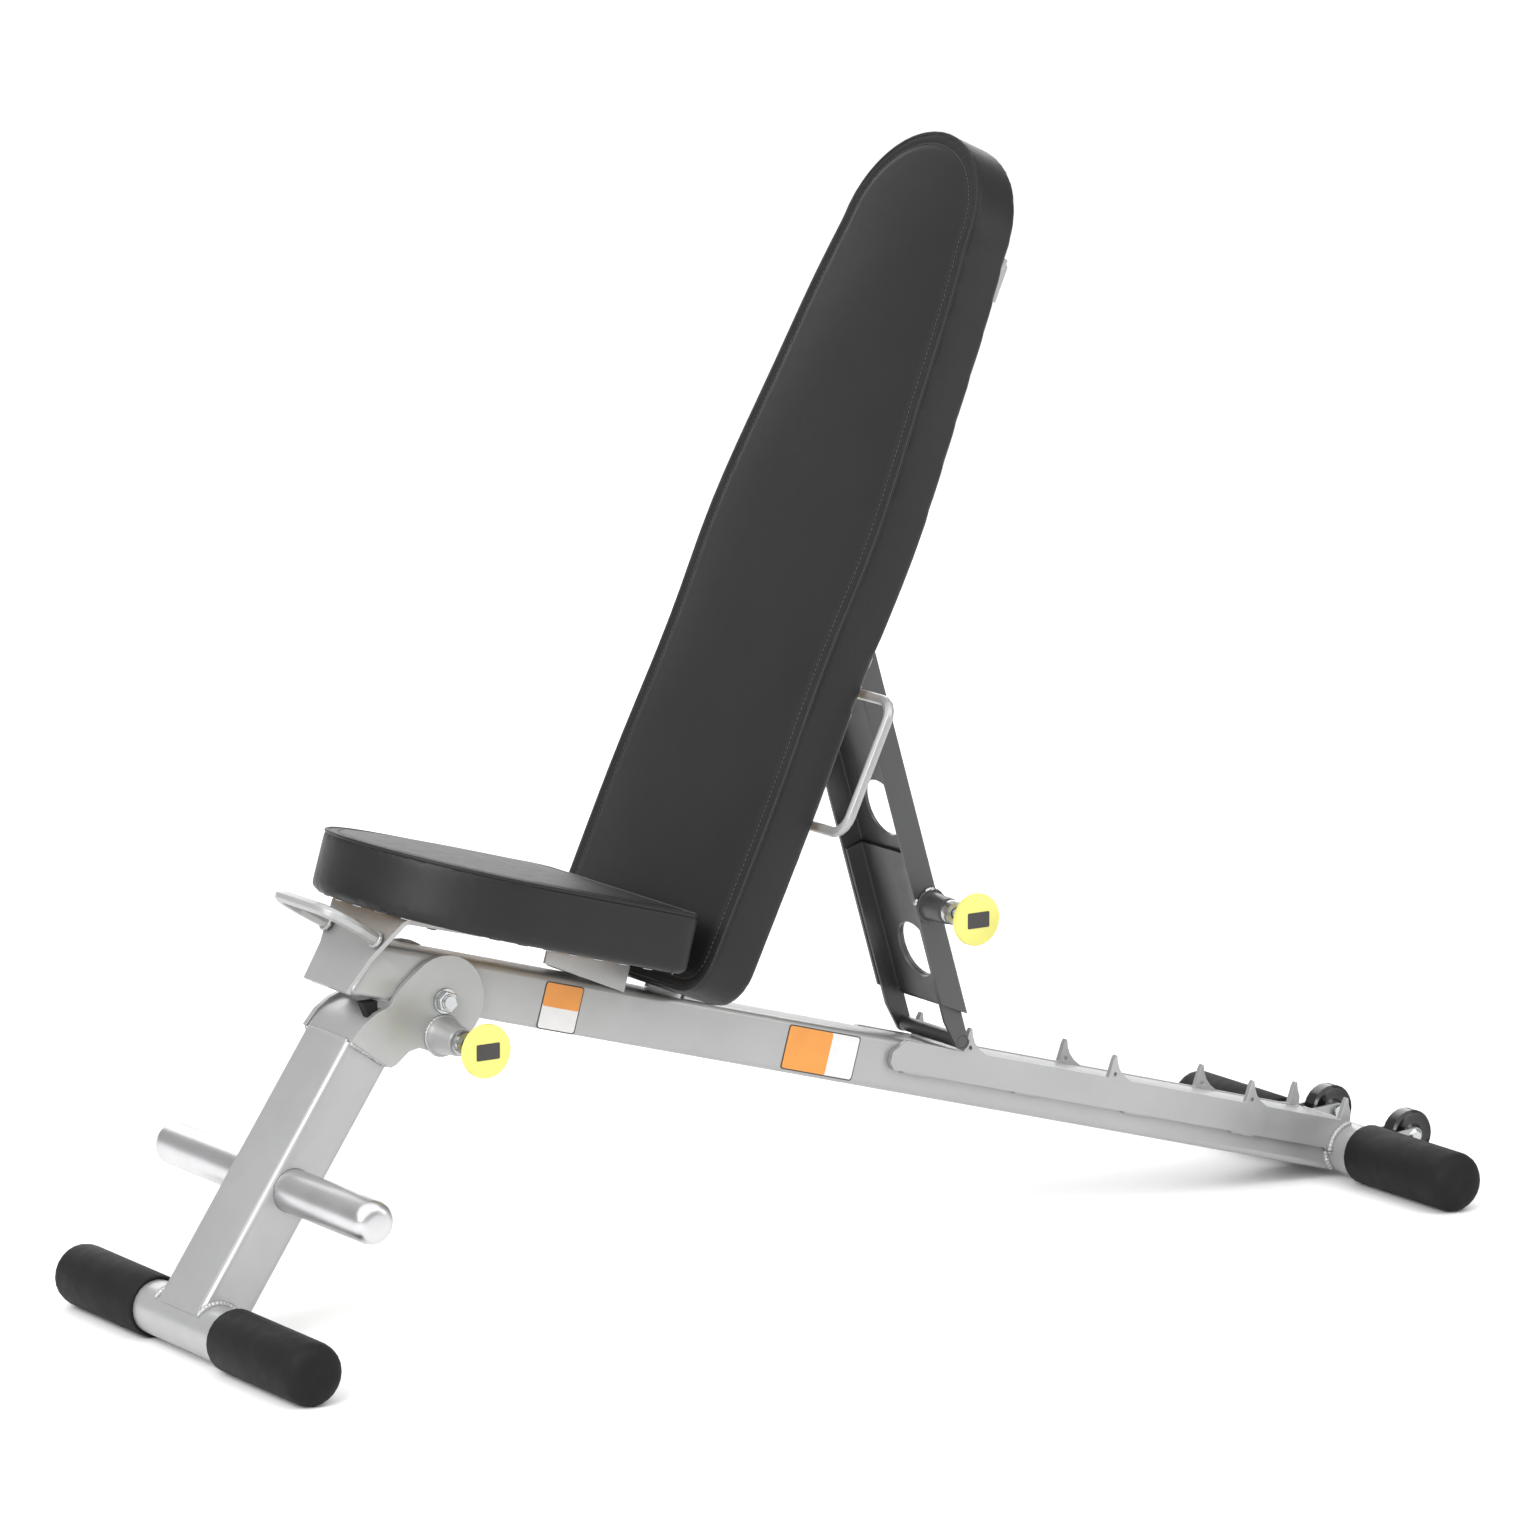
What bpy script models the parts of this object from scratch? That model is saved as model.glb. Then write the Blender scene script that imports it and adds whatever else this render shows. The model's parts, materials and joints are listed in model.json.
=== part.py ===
"""Adjustable weight bench with a folding front leg, a ladder-supported backrest and two wheels.

Metres, +Z up, +X from the front foot to the wheels, origin under the middle of the bench on the floor.
Design positions are measured from the axis of the front foot; ORIGIN_X moves them to the origin.
"""
import math

import bmesh
import bpy
from mathutils import Matrix, Vector

# ---- Driving dimensions ------------------------------------------------------------------------
ORIGIN_X = 0.66685          # distance from the front foot's axis to the bench's origin
GAP = 0.0003                # clearance left between pieces that touch
TUBE_W = 0.0762             # 3 in side of the rectangular tubes
TUBE_D = 0.0508             # 2 in side of the rectangular tubes
TUBE_WALL = 0.0025
TUBE_CORNER = 0.006

FOOT_R = 0.0254             # round foot tubes
FOOT_HALF = 0.2135
FOOT_AXIS_Z = 0.0295
CAP_R = 0.0295              # rubber end caps on the feet
CAP_LEN = 0.152
CAP_WALL = 0.0035
FOOT_END = 0.2215
CAP_DOME = 0.0150
REAR_FOOT_X = 1.2836

BEAM_TILT = math.atan(0.28)
BEAM_ORIGIN_Z = 0.3625      # height of the beam's underside above the front foot's axis
BEAM_START_U = 0.1490       # ends of the beam, along it
BEAM_END_U = 1.3200
BEAM_SKEW = math.radians(20.0)
FIN_U = (0.8364, 1.0143, 1.1869, 1.3076)
LADDER_U = (0.7520, 1.3180)

LEG_TILT = math.radians(34.2)
LEG_PIVOT = (0.2390, 0.3070)
LEG_TOP = 0.2860            # length of the leg tube, from the foot's axis
PEG_T = 0.1451              # plate-holder peg, distance up the leg
PEG_R = 0.0205
PEG_HALF = 0.1880

BACK_TILT = math.radians(25.3)
BACK_ORIGIN = (0.4544, 0.3000)   # lower front edge of the back pad
PAD_T = 0.0400              # back pad's foam
BOARD_T = 0.0115
SPINE_DEPTH = 0.0381        # back spine, a 3 in by 1.5 in tube
SPINE_FRONT = 0.0525
SPINE_MID = 0.0720
HINGE_S = 0.0235            # back hinge, distance up the back
STRUT_PIVOT_S = 0.3878      # strut pivot, distance up the back
BACK_LEN = 0.8430
PAD_STATIONS = ((0.040, 0.1378), (0.190, 0.1395), (0.330, 0.1350), (0.455, 0.1385), (0.600, 0.1235),
                (0.690, 0.1130), (0.745, 0.1030))    # half widths of the back pad up its face

STRUT_TILT = math.radians(-16.69)
STRUT_LEN = 0.4397          # from the strut's pivot to its cross rod
STRUT_HALF_W = 0.0545
STRUT_WALL = 0.0036
STRUT_WEB_X = 0.0105        # rear face of the strut's web, behind the line from pivot to rod
STRUT_EDGE_X = -0.0160
STRUT_PIN_T = 0.2960        # pull pin, distance down the strut
STRUT_PIN_X = -0.0010
STRUT_SLOTS = ((0.1790, 0.2360), (0.3260, 0.3820))
SLIDER_TOP = 0.2500         # upper end of the sliding inner channel
OUTER_END = (0.3935, 0.4150)     # lower end of the outer channel, at its front and rear edges
ROD_R = 0.0072
ROD_X = -0.0014             # cross rod, ahead of the line through the strut's pivot

PLATE_Y = 0.0384            # inner face of the plates that straddle the tubes
PLATE_T = 0.0060
LUG_Y = 0.0280              # inner face of the back hinge's lugs
BOLT_R = 0.0060

SEAT_LIFT = 0.0271          # gap between the beam and the seat board
SEAT_BOARD_T = 0.0115
SEAT_PAD_T = 0.0460
PAD_WRAP = 0.0120           # vinyl and foam around a board's edge
SEAT_R = 0.1400             # half width of the seat and radius of its round front
SEAT_ARC_U = 0.2700         # centre of the round front, along the beam
SEAT_END_U = 0.4420
SEAT_SCREW_U = (0.2420, 0.4040)

WHEEL_X = 1.3382
WHEEL_Z = 0.0417
WHEEL_R = 0.0250
WHEEL_Y = 0.0640

PIN_LEG = (0.2365, 0.2750)  # pull pin of the leg, in side view
PIN_R = 0.0050
HOUSING_LEN = 0.0420

# ---- Colours: (r, g, b), roughness, metallic ----------------------------------------------------
FINISHES = {
    "silver_paint": ((0.50, 0.51, 0.51), 0.38, 0.35),
    "charcoal_paint": ((0.075, 0.078, 0.085), 0.40, 0.20),
    "chrome": ((0.72, 0.73, 0.74), 0.15, 1.0),
    "zinc": ((0.55, 0.56, 0.57), 0.35, 1.0),
    "vinyl": ((0.030, 0.030, 0.031), 0.48, 0.0),
    "rubber": ((0.020, 0.020, 0.021), 0.80, 0.0),
    "knob_plastic": ((0.90, 0.85, 0.20), 0.45, 0.0),
    "wheel_plastic": ((0.015, 0.015, 0.016), 0.18, 0.0),
    "plywood": ((0.42, 0.28, 0.15), 0.70, 0.0),
}


def frame_matrix(x, z, tilt):
    """A frame whose X and Z lie in the bench's side view, turned by tilt about Y."""
    return Matrix.Translation((x - ORIGIN_X, 0, z)) @ Matrix.Rotation(tilt, 4, "Y")


WORLD = frame_matrix(0, 0, 0)
BEAM = frame_matrix(0, BEAM_ORIGIN_Z, BEAM_TILT)
LEG = frame_matrix(0, FOOT_AXIS_Z, LEG_TILT)
BACK = frame_matrix(BACK_ORIGIN[0], BACK_ORIGIN[1], BACK_TILT)
PIVOT_POINT = BACK @ Vector((SPINE_MID, 0, STRUT_PIVOT_S))
STRUT = Matrix.Translation(PIVOT_POINT) @ Matrix.Rotation(STRUT_TILT, 4, "Y")
UPRIGHT = Matrix.Rotation(math.pi / 2, 4, "X")      # turns a drawing's XY into X and Z
ALONG_Y = Matrix.Rotation(-math.pi / 2, 4, "X")     # turns a Z axis to +Y
ALONG_MINUS_Y = Matrix.Rotation(math.pi / 2, 4, "X")


# ---- Scene and helpers ---------------------------------------------------------------------------
def clear_scene():
    for obj in list(bpy.data.objects):
        bpy.data.objects.remove(obj, do_unlink=True)
    for name in ("adjustable_weight_bench", "cutters"):
        bpy.context.scene.collection.children.link(bpy.data.collections.new(name))


def finish_material(name):
    """The Principled material of one finish, made the first time it is asked for."""
    if name in bpy.data.materials:
        return bpy.data.materials[name]
    color, roughness, metallic = FINISHES[name]
    mat = bpy.data.materials.new(name)
    mat.use_nodes = True
    shader = mat.node_tree.nodes["Principled BSDF"]
    shader.inputs["Base Color"].default_value = (*color, 1)
    shader.inputs["Roughness"].default_value = roughness
    shader.inputs["Metallic"].default_value = metallic
    return mat


def add(name, data, matrix, finish):
    """Put a mesh or curve in the bench's collection as one named sub-part."""
    obj = bpy.data.objects.new(name, data)
    bpy.data.collections["adjustable_weight_bench"].objects.link(obj)
    obj.matrix_world = matrix
    data.materials.append(finish_material(finish))
    return obj


def cutter(data, matrix):
    obj = bpy.data.objects.new("cutter", data)
    bpy.data.collections["cutters"].objects.link(obj)
    obj.matrix_world = matrix
    obj.hide_render = True
    obj.display_type = "WIRE"
    return obj


def cut(obj, *tools):
    for tool in tools:
        mod = obj.modifiers.new("cut", "BOOLEAN")
        mod.operation = "DIFFERENCE"
        mod.solver = "EXACT"
        mod.object = tool


def mesh_from(bm, name, smooth_angle=40):
    mesh = bpy.data.meshes.new(name)
    bm.to_mesh(mesh)
    bm.free()
    mesh.shade_smooth()
    mesh.set_sharp_from_angle(angle=math.radians(smooth_angle))
    return mesh


def box_mesh(low, high, bevel=0, segments=2, along=None):
    """A box between two corners; along names the axis of the edges to round, or None for all."""
    bm = bmesh.new()
    bmesh.ops.create_cube(bm, size=1)
    size = [b - a for a, b in zip(low, high)]
    centre = [(a + b) / 2 for a, b in zip(low, high)]
    bmesh.ops.scale(bm, vec=size, verts=bm.verts)
    bmesh.ops.translate(bm, vec=centre, verts=bm.verts)
    if bevel:
        edges = list(bm.edges)
        if along is not None:
            edges = [e for e in edges if abs((e.verts[0].co - e.verts[1].co)[along]) > 1e-6]
        bmesh.ops.bevel(bm, geom=edges, offset=bevel, segments=segments, profile=0.5, affect="EDGES")
    return mesh_from(bm, "box")


def rod_mesh(radius, length, sides=20):
    """A plain round bar about its own Z axis, centred."""
    bm = bmesh.new()
    bmesh.ops.create_cone(bm, cap_ends=True, segments=sides, radius1=radius, radius2=radius, depth=length)
    return mesh_from(bm, "rod")


def drill(x, z, radius, base, length=0.3, sides=20, y=0):
    """A round cutter along Y at (x, z) of a frame."""
    return cutter(rod_mesh(radius, length, sides), base @ Matrix.Translation((x, y, z)) @ ALONG_Y)


def turned(name, profile, matrix, finish, steps=24):
    """A turned piece: (radius, height) pairs that run down the outer side and back up the bore."""
    bm = bmesh.new()
    verts = [bm.verts.new((r, 0, z)) for r, z in profile]
    for a, b in zip(verts, verts[1:]):
        bm.edges.new((a, b))
    if profile[0][0] > 0:
        bm.edges.new((verts[-1], verts[0]))
    mesh = bpy.data.meshes.new(name)
    bm.to_mesh(mesh)
    bm.free()
    obj = add(name, mesh, matrix, finish)
    screw = obj.modifiers.new("turn", "SCREW")
    screw.axis = "Z"
    screw.steps = screw.render_steps = steps
    screw.use_merge_vertices = True
    screw.merge_threshold = 0.00001
    screw.use_smooth_shade = True
    return obj


def arc(cx, cz, radius, start, end, count):
    """Points of an arc, in degrees, both ends included."""
    angles = [math.radians(start + (end - start) * i / count) for i in range(count + 1)]
    return [(cx + radius * math.cos(a), cz + radius * math.sin(a)) for a in angles]


def outline_mesh(loops, thickness):
    """A flat plate from closed outlines, the first outside and the others holes, centred on Z."""
    curve = bpy.data.curves.new("outline", "CURVE")
    curve.dimensions = "2D"
    curve.fill_mode = "BOTH"
    curve.extrude = thickness / 2
    for loop in loops:
        spline = curve.splines.new("POLY")
        spline.points.add(len(loop) - 1)
        for point, (x, y) in zip(spline.points, loop):
            point.co = (x, y, 0, 1)
        spline.use_cyclic_u = True
    obj = bpy.data.objects.new("outline", curve)
    bpy.context.scene.collection.objects.link(obj)
    bpy.context.view_layer.update()
    mesh = bpy.data.meshes.new_from_object(obj.evaluated_get(bpy.context.evaluated_depsgraph_get()))
    bpy.data.objects.remove(obj, do_unlink=True)
    bm = bmesh.new()
    bm.from_mesh(mesh)
    bmesh.ops.remove_doubles(bm, verts=bm.verts, dist=0.000005)
    bmesh.ops.dissolve_limit(bm, angle_limit=0.001, verts=bm.verts, edges=bm.edges)
    bmesh.ops.triangulate(bm, faces=[f for f in bm.faces if len(f.verts) > 4])
    bmesh.ops.recalc_face_normals(bm, faces=bm.faces)
    bpy.data.meshes.remove(mesh)
    return mesh_from(bm, "plate", 35)


def side_plate(name, loops, y_low, thickness, base, finish):
    """A plate drawn in a frame's side view, from y_low to y_low + thickness."""
    middle = Matrix.Translation((0, y_low + thickness / 2, 0))
    return add(name, outline_mesh(loops, thickness), base @ middle @ UPRIGHT, finish)


def wire(name, points, radius, matrix, finish, bend=0.0):
    """A round bar along straight runs, with each inner corner rounded to the bend radius."""
    route = [Vector(points[0])]
    for before, corner, after in zip(points, points[1:], points[2:]):
        corner = Vector(corner)
        to_before = (Vector(before) - corner).normalized()
        to_after = (Vector(after) - corner).normalized()
        half = to_before.angle(to_after) / 2
        reach = bend / math.tan(half)
        start, end = corner + to_before * reach, corner + to_after * reach
        centre = corner + (to_before + to_after).normalized() * (bend / math.sin(half))
        for i in range(6):
            ray = (start - centre).lerp(end - centre, i / 5).normalized()
            route.append(centre + ray * bend)
    route.append(Vector(points[-1]))
    curve = bpy.data.curves.new(name, "CURVE")
    curve.dimensions = "3D"
    curve.bevel_depth = radius
    curve.bevel_resolution = 2
    curve.use_fill_caps = True
    spline = curve.splines.new("POLY")
    spline.points.add(len(route) - 1)
    for point, co in zip(spline.points, route):
        point.co = (*co, 1)
    return add(name, curve, matrix, finish)


def box_tube(name, length, matrix, finish, depth=TUBE_D, width=TUBE_W, start_skew=0.0):
    """An open-ended rectangular tube along local X; depth is on Z from 0, start_skew leans its first end."""
    bm = bmesh.new()
    bmesh.ops.create_cube(bm, size=1)
    bmesh.ops.scale(bm, vec=(length, width, depth), verts=bm.verts)
    bmesh.ops.translate(bm, vec=(length / 2, 0, depth / 2), verts=bm.verts)
    long_edges = [e for e in bm.edges if abs(e.verts[0].co.x - e.verts[1].co.x) > 1e-6]
    bmesh.ops.bevel(bm, geom=long_edges, offset=TUBE_CORNER, segments=3, profile=0.5, affect="EDGES")
    ends = [f for f in bm.faces if abs(f.normal.x) > 0.9]
    bmesh.ops.delete(bm, geom=ends, context="FACES_ONLY")
    for vert in bm.verts:
        if vert.co.x < length / 2:
            vert.co.x += vert.co.z * math.tan(start_skew)
    obj = add(name, mesh_from(bm, name), matrix, finish)
    solid = obj.modifiers.new("wall", "SOLIDIFY")
    solid.thickness = TUBE_WALL
    solid.offset = -1
    solid.use_even_offset = True
    return obj


def bolt(name, x, z, base, half_grip, head_y_sign=-1, finish="zinc", head_r=0.0105):
    """A through bolt along Y with a low round head at one end and a lock nut at the other."""
    shank, head, nut = BOLT_R - GAP, 0.0055, 0.0085
    g = half_grip + GAP
    profile = [(0, g + head), (head_r * 0.62, g + head), (head_r, g + head * 0.45), (head_r, g),
               (shank, g), (shank, -g), (head_r * 0.92, -g), (head_r * 0.92, -g - nut * 0.75),
               (head_r * 0.7, -g - nut), (0, -g - nut)]
    turn = ALONG_MINUS_Y if head_y_sign < 0 else ALONG_Y
    return turned(name, profile, base @ Matrix.Translation((x, 0, z)) @ turn, finish, 14)


# ---- Feet ----------------------------------------------------------------------------------------
def foot(prefix, x):
    """A round cross tube with a rubber cap on each end."""
    wall = 0.003
    ring = [(FOOT_R, FOOT_HALF), (FOOT_R, -FOOT_HALF), (FOOT_R - wall, -FOOT_HALF), (FOOT_R - wall, FOOT_HALF)]
    centre = WORLD @ Matrix.Translation((x, 0, FOOT_AXIS_Z))
    turned(prefix + "_foot_tube", ring, centre @ ALONG_Y, "silver_paint", 24)
    mouth = FOOT_END - CAP_LEN
    dome = arc(CAP_R - CAP_DOME, FOOT_END - CAP_DOME, CAP_DOME, 90, 0, 4)
    inside = FOOT_R + GAP
    profile = [(0, FOOT_END - 0.0012), (0.0040, FOOT_END)] + dome
    profile += [(CAP_R, mouth + 0.003), (CAP_R - 0.0012, mouth), (inside, mouth),
                (inside, FOOT_HALF + GAP), (0, FOOT_HALF + GAP)]
    for side, turn in (("left", ALONG_Y), ("right", ALONG_MINUS_Y)):
        turned(f"{prefix}_cap_{side}", profile, centre @ turn, "rubber")


# ---- Base frame ----------------------------------------------------------------------------------
def beam_point(x, z):
    """A side-view point as (u, v): along the beam, and above its underside."""
    local = BEAM.inverted() @ Vector((x - ORIGIN_X, 0, z))
    return local.x, local.z


def main_beam():
    beam = box_tube("main_beam", BEAM_END_U - BEAM_START_U, BEAM @ Matrix.Translation((BEAM_START_U, 0, 0)),
                    "silver_paint", start_skew=BEAM_SKEW)
    pivot = drill(LEG_PIVOT[0], LEG_PIVOT[1], BOLT_R, WORLD)
    cope = drill(REAR_FOOT_X, FOOT_AXIS_Z, FOOT_R + GAP, WORLD, sides=48)
    beyond = cutter(box_mesh((0, -0.1, -0.1), (0.1, 0.1, 0.1)),
                    WORLD @ Matrix.Translation((REAR_FOOT_X + 0.0013, 0, FOOT_AXIS_Z)))
    cut(beam, pivot, cope, beyond)


def front_plate():
    """Plate across the beam's front end, wider at the top, bent back under the seat as a flange."""
    lean = math.radians(35.6)
    height, flange = 0.0815, 0.082
    half_low, half_high = 0.0381, 0.0640
    base = frame_matrix(0.1405, 0.3245, lean)
    end = Vector((flange * math.cos(BEAM_TILT - lean), height - flange * math.sin(BEAM_TILT - lean)))
    rows = [(0, 0, half_low), (0, height * 0.45, 0.0440), (0, height - 0.004, half_high - 0.001),
            (0.0012, height - 0.0012, half_high), (0.004, height + 0.0006, half_high),
            (end.x, end.y, half_high)]
    bm = bmesh.new()
    rings = [(bm.verts.new((x, -w, z)), bm.verts.new((x, w, z))) for x, z, w in rows]
    for (a, b), (c, d) in zip(rings, rings[1:]):
        bm.faces.new((a, c, d, b))
    bmesh.ops.recalc_face_normals(bm, faces=bm.faces)
    obj = add("front_plate", mesh_from(bm, "front_plate"), base, "silver_paint")
    solid = obj.modifiers.new("thickness", "SOLIDIFY")
    solid.thickness = 0.0045
    solid.offset = 0
    cut(obj, cutter(rod_mesh(0.0036, 0.05, 12), BEAM @ Matrix.Translation((SEAT_SCREW_U[0], 0, TUBE_D + SEAT_LIFT))))


def seat_handle():
    """Round bar loop welded to the front plate, used to lift the folded bench."""
    rise = math.radians(32)
    foot_x, foot_z = 0.1691, 0.3713
    out, side = Vector((-math.cos(rise), 0, math.sin(rise))), Vector((0, 1, 0))
    start = Vector((foot_x, 0, foot_z))
    plan = ((0.0000, 0.0435), (0.0300, 0.0520), (0.0640, 0.0480), (0.0680, 0.0))
    points = [start + out * r + side * w for r, w in plan[:3]]
    points += [start + out * r - side * w for r, w in reversed(plan[:3])]
    wire("seat_handle", points, 0.0060, WORLD, "silver_paint", bend=0.0200)


def fin(u):
    """A ladder tooth: a hollowed front face, a pointed tip and a sloping back."""
    front = [(u - 0.0034, TUBE_D + 0.0006), (u - 0.0026, TUBE_D + 0.0100), (u - 0.0022, TUBE_D + 0.0180)]
    tip = [(u - 0.0008, TUBE_D + 0.0232), (u + 0.0010, TUBE_D + 0.0230)]
    back = [(u + 0.0036, TUBE_D + 0.0165), (u + 0.0080, TUBE_D + 0.0100), (u + 0.0150, TUBE_D + 0.0045)]
    back.append((u + 0.0240, TUBE_D + 0.0006))
    return front + tip + back


def ladder_plates():
    low = 0.0215
    start, end = LADDER_U
    outline = [(start + 0.006, low), (end - 0.004, low), (end, low + 0.004), (end, TUBE_D - 0.001)]
    for u in reversed(FIN_U):
        outline += [p for p in reversed(fin(u)) if p[0] < end - 0.0005]
    outline += [(start + 0.014, TUBE_D + 0.0006), (start, TUBE_D - 0.012), (start, low + 0.006)]
    eyes = [arc(u + 0.0036, TUBE_D + 0.0045, 0.0021, 0, 324, 9) for u in FIN_U[:3]]
    cope = drill(REAR_FOOT_X, FOOT_AXIS_Z, FOOT_R + GAP, WORLD, sides=36)
    for side, y_low in (("left", PLATE_Y), ("right", -PLATE_Y - PLATE_T)):
        cut(side_plate(f"ladder_plate_{side}", [outline] + eyes, y_low, PLATE_T, BEAM, "silver_paint"), cope)


def leg_lock_plate():
    """Sector under the beam whose edge the leg's pull pin meets."""
    u, v = beam_point(*LEG_PIVOT)
    outline = [(u - 0.046, -GAP), (u - 0.046, -0.016)] + arc(u, v, 0.0480, 222, 318, 8)
    outline += [(u + 0.040, -0.016), (u + 0.040, -GAP)]
    plate = side_plate("leg_lock_plate", [outline], -0.0362, 0.0060, BEAM, "silver_paint")
    return plate


def seat_bracket():
    """Inverted channel between the beam and the rear of the seat; its left flange is the shorter one."""
    low_u, high_u = 0.3440, 0.4376
    top = TUBE_D + SEAT_LIFT - GAP
    half = PLATE_Y + 0.0035
    profile = ((-half, TUBE_D - 0.004), (-half, top), (half, top), (half, TUBE_D - 0.004))
    bm = bmesh.new()
    rows = [[bm.verts.new((u, y, z)) for y, z in profile] for u in (low_u, high_u)]
    for i in range(3):
        bm.faces.new((rows[0][i], rows[0][i + 1], rows[1][i + 1], rows[1][i]))
    bends = [e for e in bm.edges if abs(e.verts[0].co.x - e.verts[1].co.x) > 0.01 and e.verts[0].co.z > top - 0.001]
    bmesh.ops.bevel(bm, geom=bends, offset=0.006, segments=4, profile=0.5, affect="EDGES")
    bmesh.ops.recalc_face_normals(bm, faces=bm.faces)
    obj = add("seat_bracket", mesh_from(bm, "seat_bracket"), BEAM, "silver_paint")
    solid = obj.modifiers.new("thickness", "SOLIDIFY")
    solid.thickness = 0.0034
    solid.offset = -1
    solid.use_even_offset = True
    slope = cutter(box_mesh((-0.04, -0.1, -0.04), (0.14, 0.1, 0.0)),
                   BEAM @ Matrix.Translation((low_u, 0, TUBE_D + 0.010)) @ Matrix.Rotation(math.radians(7.9), 4, "Y"))
    short = cutter(box_mesh((low_u - 0.01, 0.02, 0.0), (0.4020, 0.1, top - 0.0070)), BEAM)
    cut(obj, slope, short, cutter(rod_mesh(0.0036, 0.02, 12), BEAM @ Matrix.Translation((SEAT_SCREW_U[1], 0, top))))


def seat_outline(inset):
    """Plan of the seat: a round front, straight sides and small rear corners."""
    radius, corner, end = SEAT_R - inset, 0.0180, SEAT_END_U - inset
    loop = arc(SEAT_ARC_U, 0, radius, 90, 270, 24)
    loop += arc(end - corner, -radius + corner, corner, -90, 0, 4)
    loop += arc(end - corner, radius - corner, corner, 0, 90, 4)
    return loop


def cushion(name, outline, pad_t, board_t, base):
    """A plywood board and the cushion wrapped round it, from outline(inset), standing up local Z from 0."""
    thick = board_t + GAP + pad_t
    pad = add(name + "_pad", outline_mesh([outline(0.0)], thick), base @ Matrix.Translation((0, 0, thick / 2)), "vinyl")
    depth = board_t + GAP
    pocket = cutter(outline_mesh([outline(PAD_WRAP - GAP)], 2 * depth), base)
    cut(pad, pocket)
    place = base @ Matrix.Translation((0, 0, board_t / 2))
    return add(name + "_board", outline_mesh([outline(PAD_WRAP)], board_t), place, "plywood")


def seat():
    base = TUBE_D + SEAT_LIFT
    board = cushion("seat", seat_outline, SEAT_PAD_T, SEAT_BOARD_T, BEAM @ Matrix.Translation((0, 0, base + 0.0026)))
    holes = []
    for name, u, face in (("front", SEAT_SCREW_U[0], base - 0.0045), ("rear", SEAT_SCREW_U[1], base - 0.0040)):
        place = BEAM @ Matrix.Translation((u, 0, face))
        profile = [(0, 0.0125), (0.0030, 0.0125), (0.0030, -GAP), (0.0065, -GAP), (0.0065, -0.0022),
                   (0.0040, -0.0042), (0, -0.0042)]
        turned(f"seat_screw_{name}", profile, place, "zinc", 16)
        holes.append(cutter(rod_mesh(0.0034, 0.0150, 12), BEAM @ Matrix.Translation((u, 0, base + 0.0036))))
    cut(board, *holes)


def back_lugs():
    """Plates standing on the beam, inside the notched end of the back's spine, that carry its hinge bolt."""
    u, v = beam_point(*hinge_point())
    outline = [(u + 0.0180, TUBE_D + GAP)] + arc(u, v, 0.0140, -10, 190, 8) + [(u - 0.0200, TUBE_D + GAP)]
    hole = arc(u, v, BOLT_R, 0, 337.5, 15)
    side_plate("hinge_lug_left", [outline, hole], LUG_Y, PLATE_T, BEAM, "silver_paint")
    side_plate("hinge_lug_right", [outline, hole], -LUG_Y - PLATE_T, PLATE_T, BEAM, "silver_paint")


def hinge_point():
    point = BACK @ Vector((SPINE_MID, 0, HINGE_S))
    return point.x + ORIGIN_X, point.z


def wheels():
    """Two wheels behind the rear foot, each on a bolt between the ears of a bent bracket."""
    reach = WHEEL_X - REAR_FOOT_X
    rise = WHEEL_Z - FOOT_AXIS_Z
    tilt = math.atan2(rise, reach)
    start = FOOT_R + GAP
    length = math.hypot(reach, rise)
    eye = 0.0085
    outline = [(start + 0.0003, -0.0130)] + arc(length, 0, eye, -70, 70, 8) + [(start + 0.0003, 0.0130)]
    outline += arc(0, 0, start, 30, -30, 4)
    hole = arc(length, 0, 0.0042, 0, 330, 11)
    rim = [(0.0046, 0.0105), (0.0085, 0.0110), (0.0120, 0.0080), (0.0190, 0.0080), (0.0225, 0.0100),
           (WHEEL_R, 0.0070), (WHEEL_R, -0.0070), (0.0225, -0.0100), (0.0190, -0.0080), (0.0120, -0.0080),
           (0.0085, -0.0110), (0.0046, -0.0110)]
    for side, sign in (("left", 1), ("right", -1)):
        base = WORLD @ Matrix.Translation((REAR_FOOT_X, 0, FOOT_AXIS_Z)) @ Matrix.Rotation(-tilt, 4, "Y")
        middle = sign * WHEEL_Y
        inner = middle - sign * 0.0145
        side_plate(f"wheel_bracket_{side}", [outline, hole], inner - 0.0018, 0.0036, base, "silver_paint")
        place = WORLD @ Matrix.Translation((WHEEL_X, middle, WHEEL_Z))
        turn = ALONG_Y if sign > 0 else ALONG_MINUS_Y
        turned(f"wheel_{side}", rim, place @ turn, "wheel_plastic")
        axle = [(0, 0.0165), (0.0050, 0.0165), (0.0078, 0.0140), (0.0078, 0.0116), (0.0039, 0.0116),
                (0.0039, -0.0166), (0.0070, -0.0166), (0.0070, -0.0215), (0, -0.0215)]
        turned(f"wheel_axle_{side}", axle, place @ turn, "zinc", 12)


# ---- Front leg -----------------------------------------------------------------------------------
def leg_local(x, z):
    local = LEG.inverted() @ Vector((x - ORIGIN_X, 0, z))
    return local.x, local.z


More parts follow.
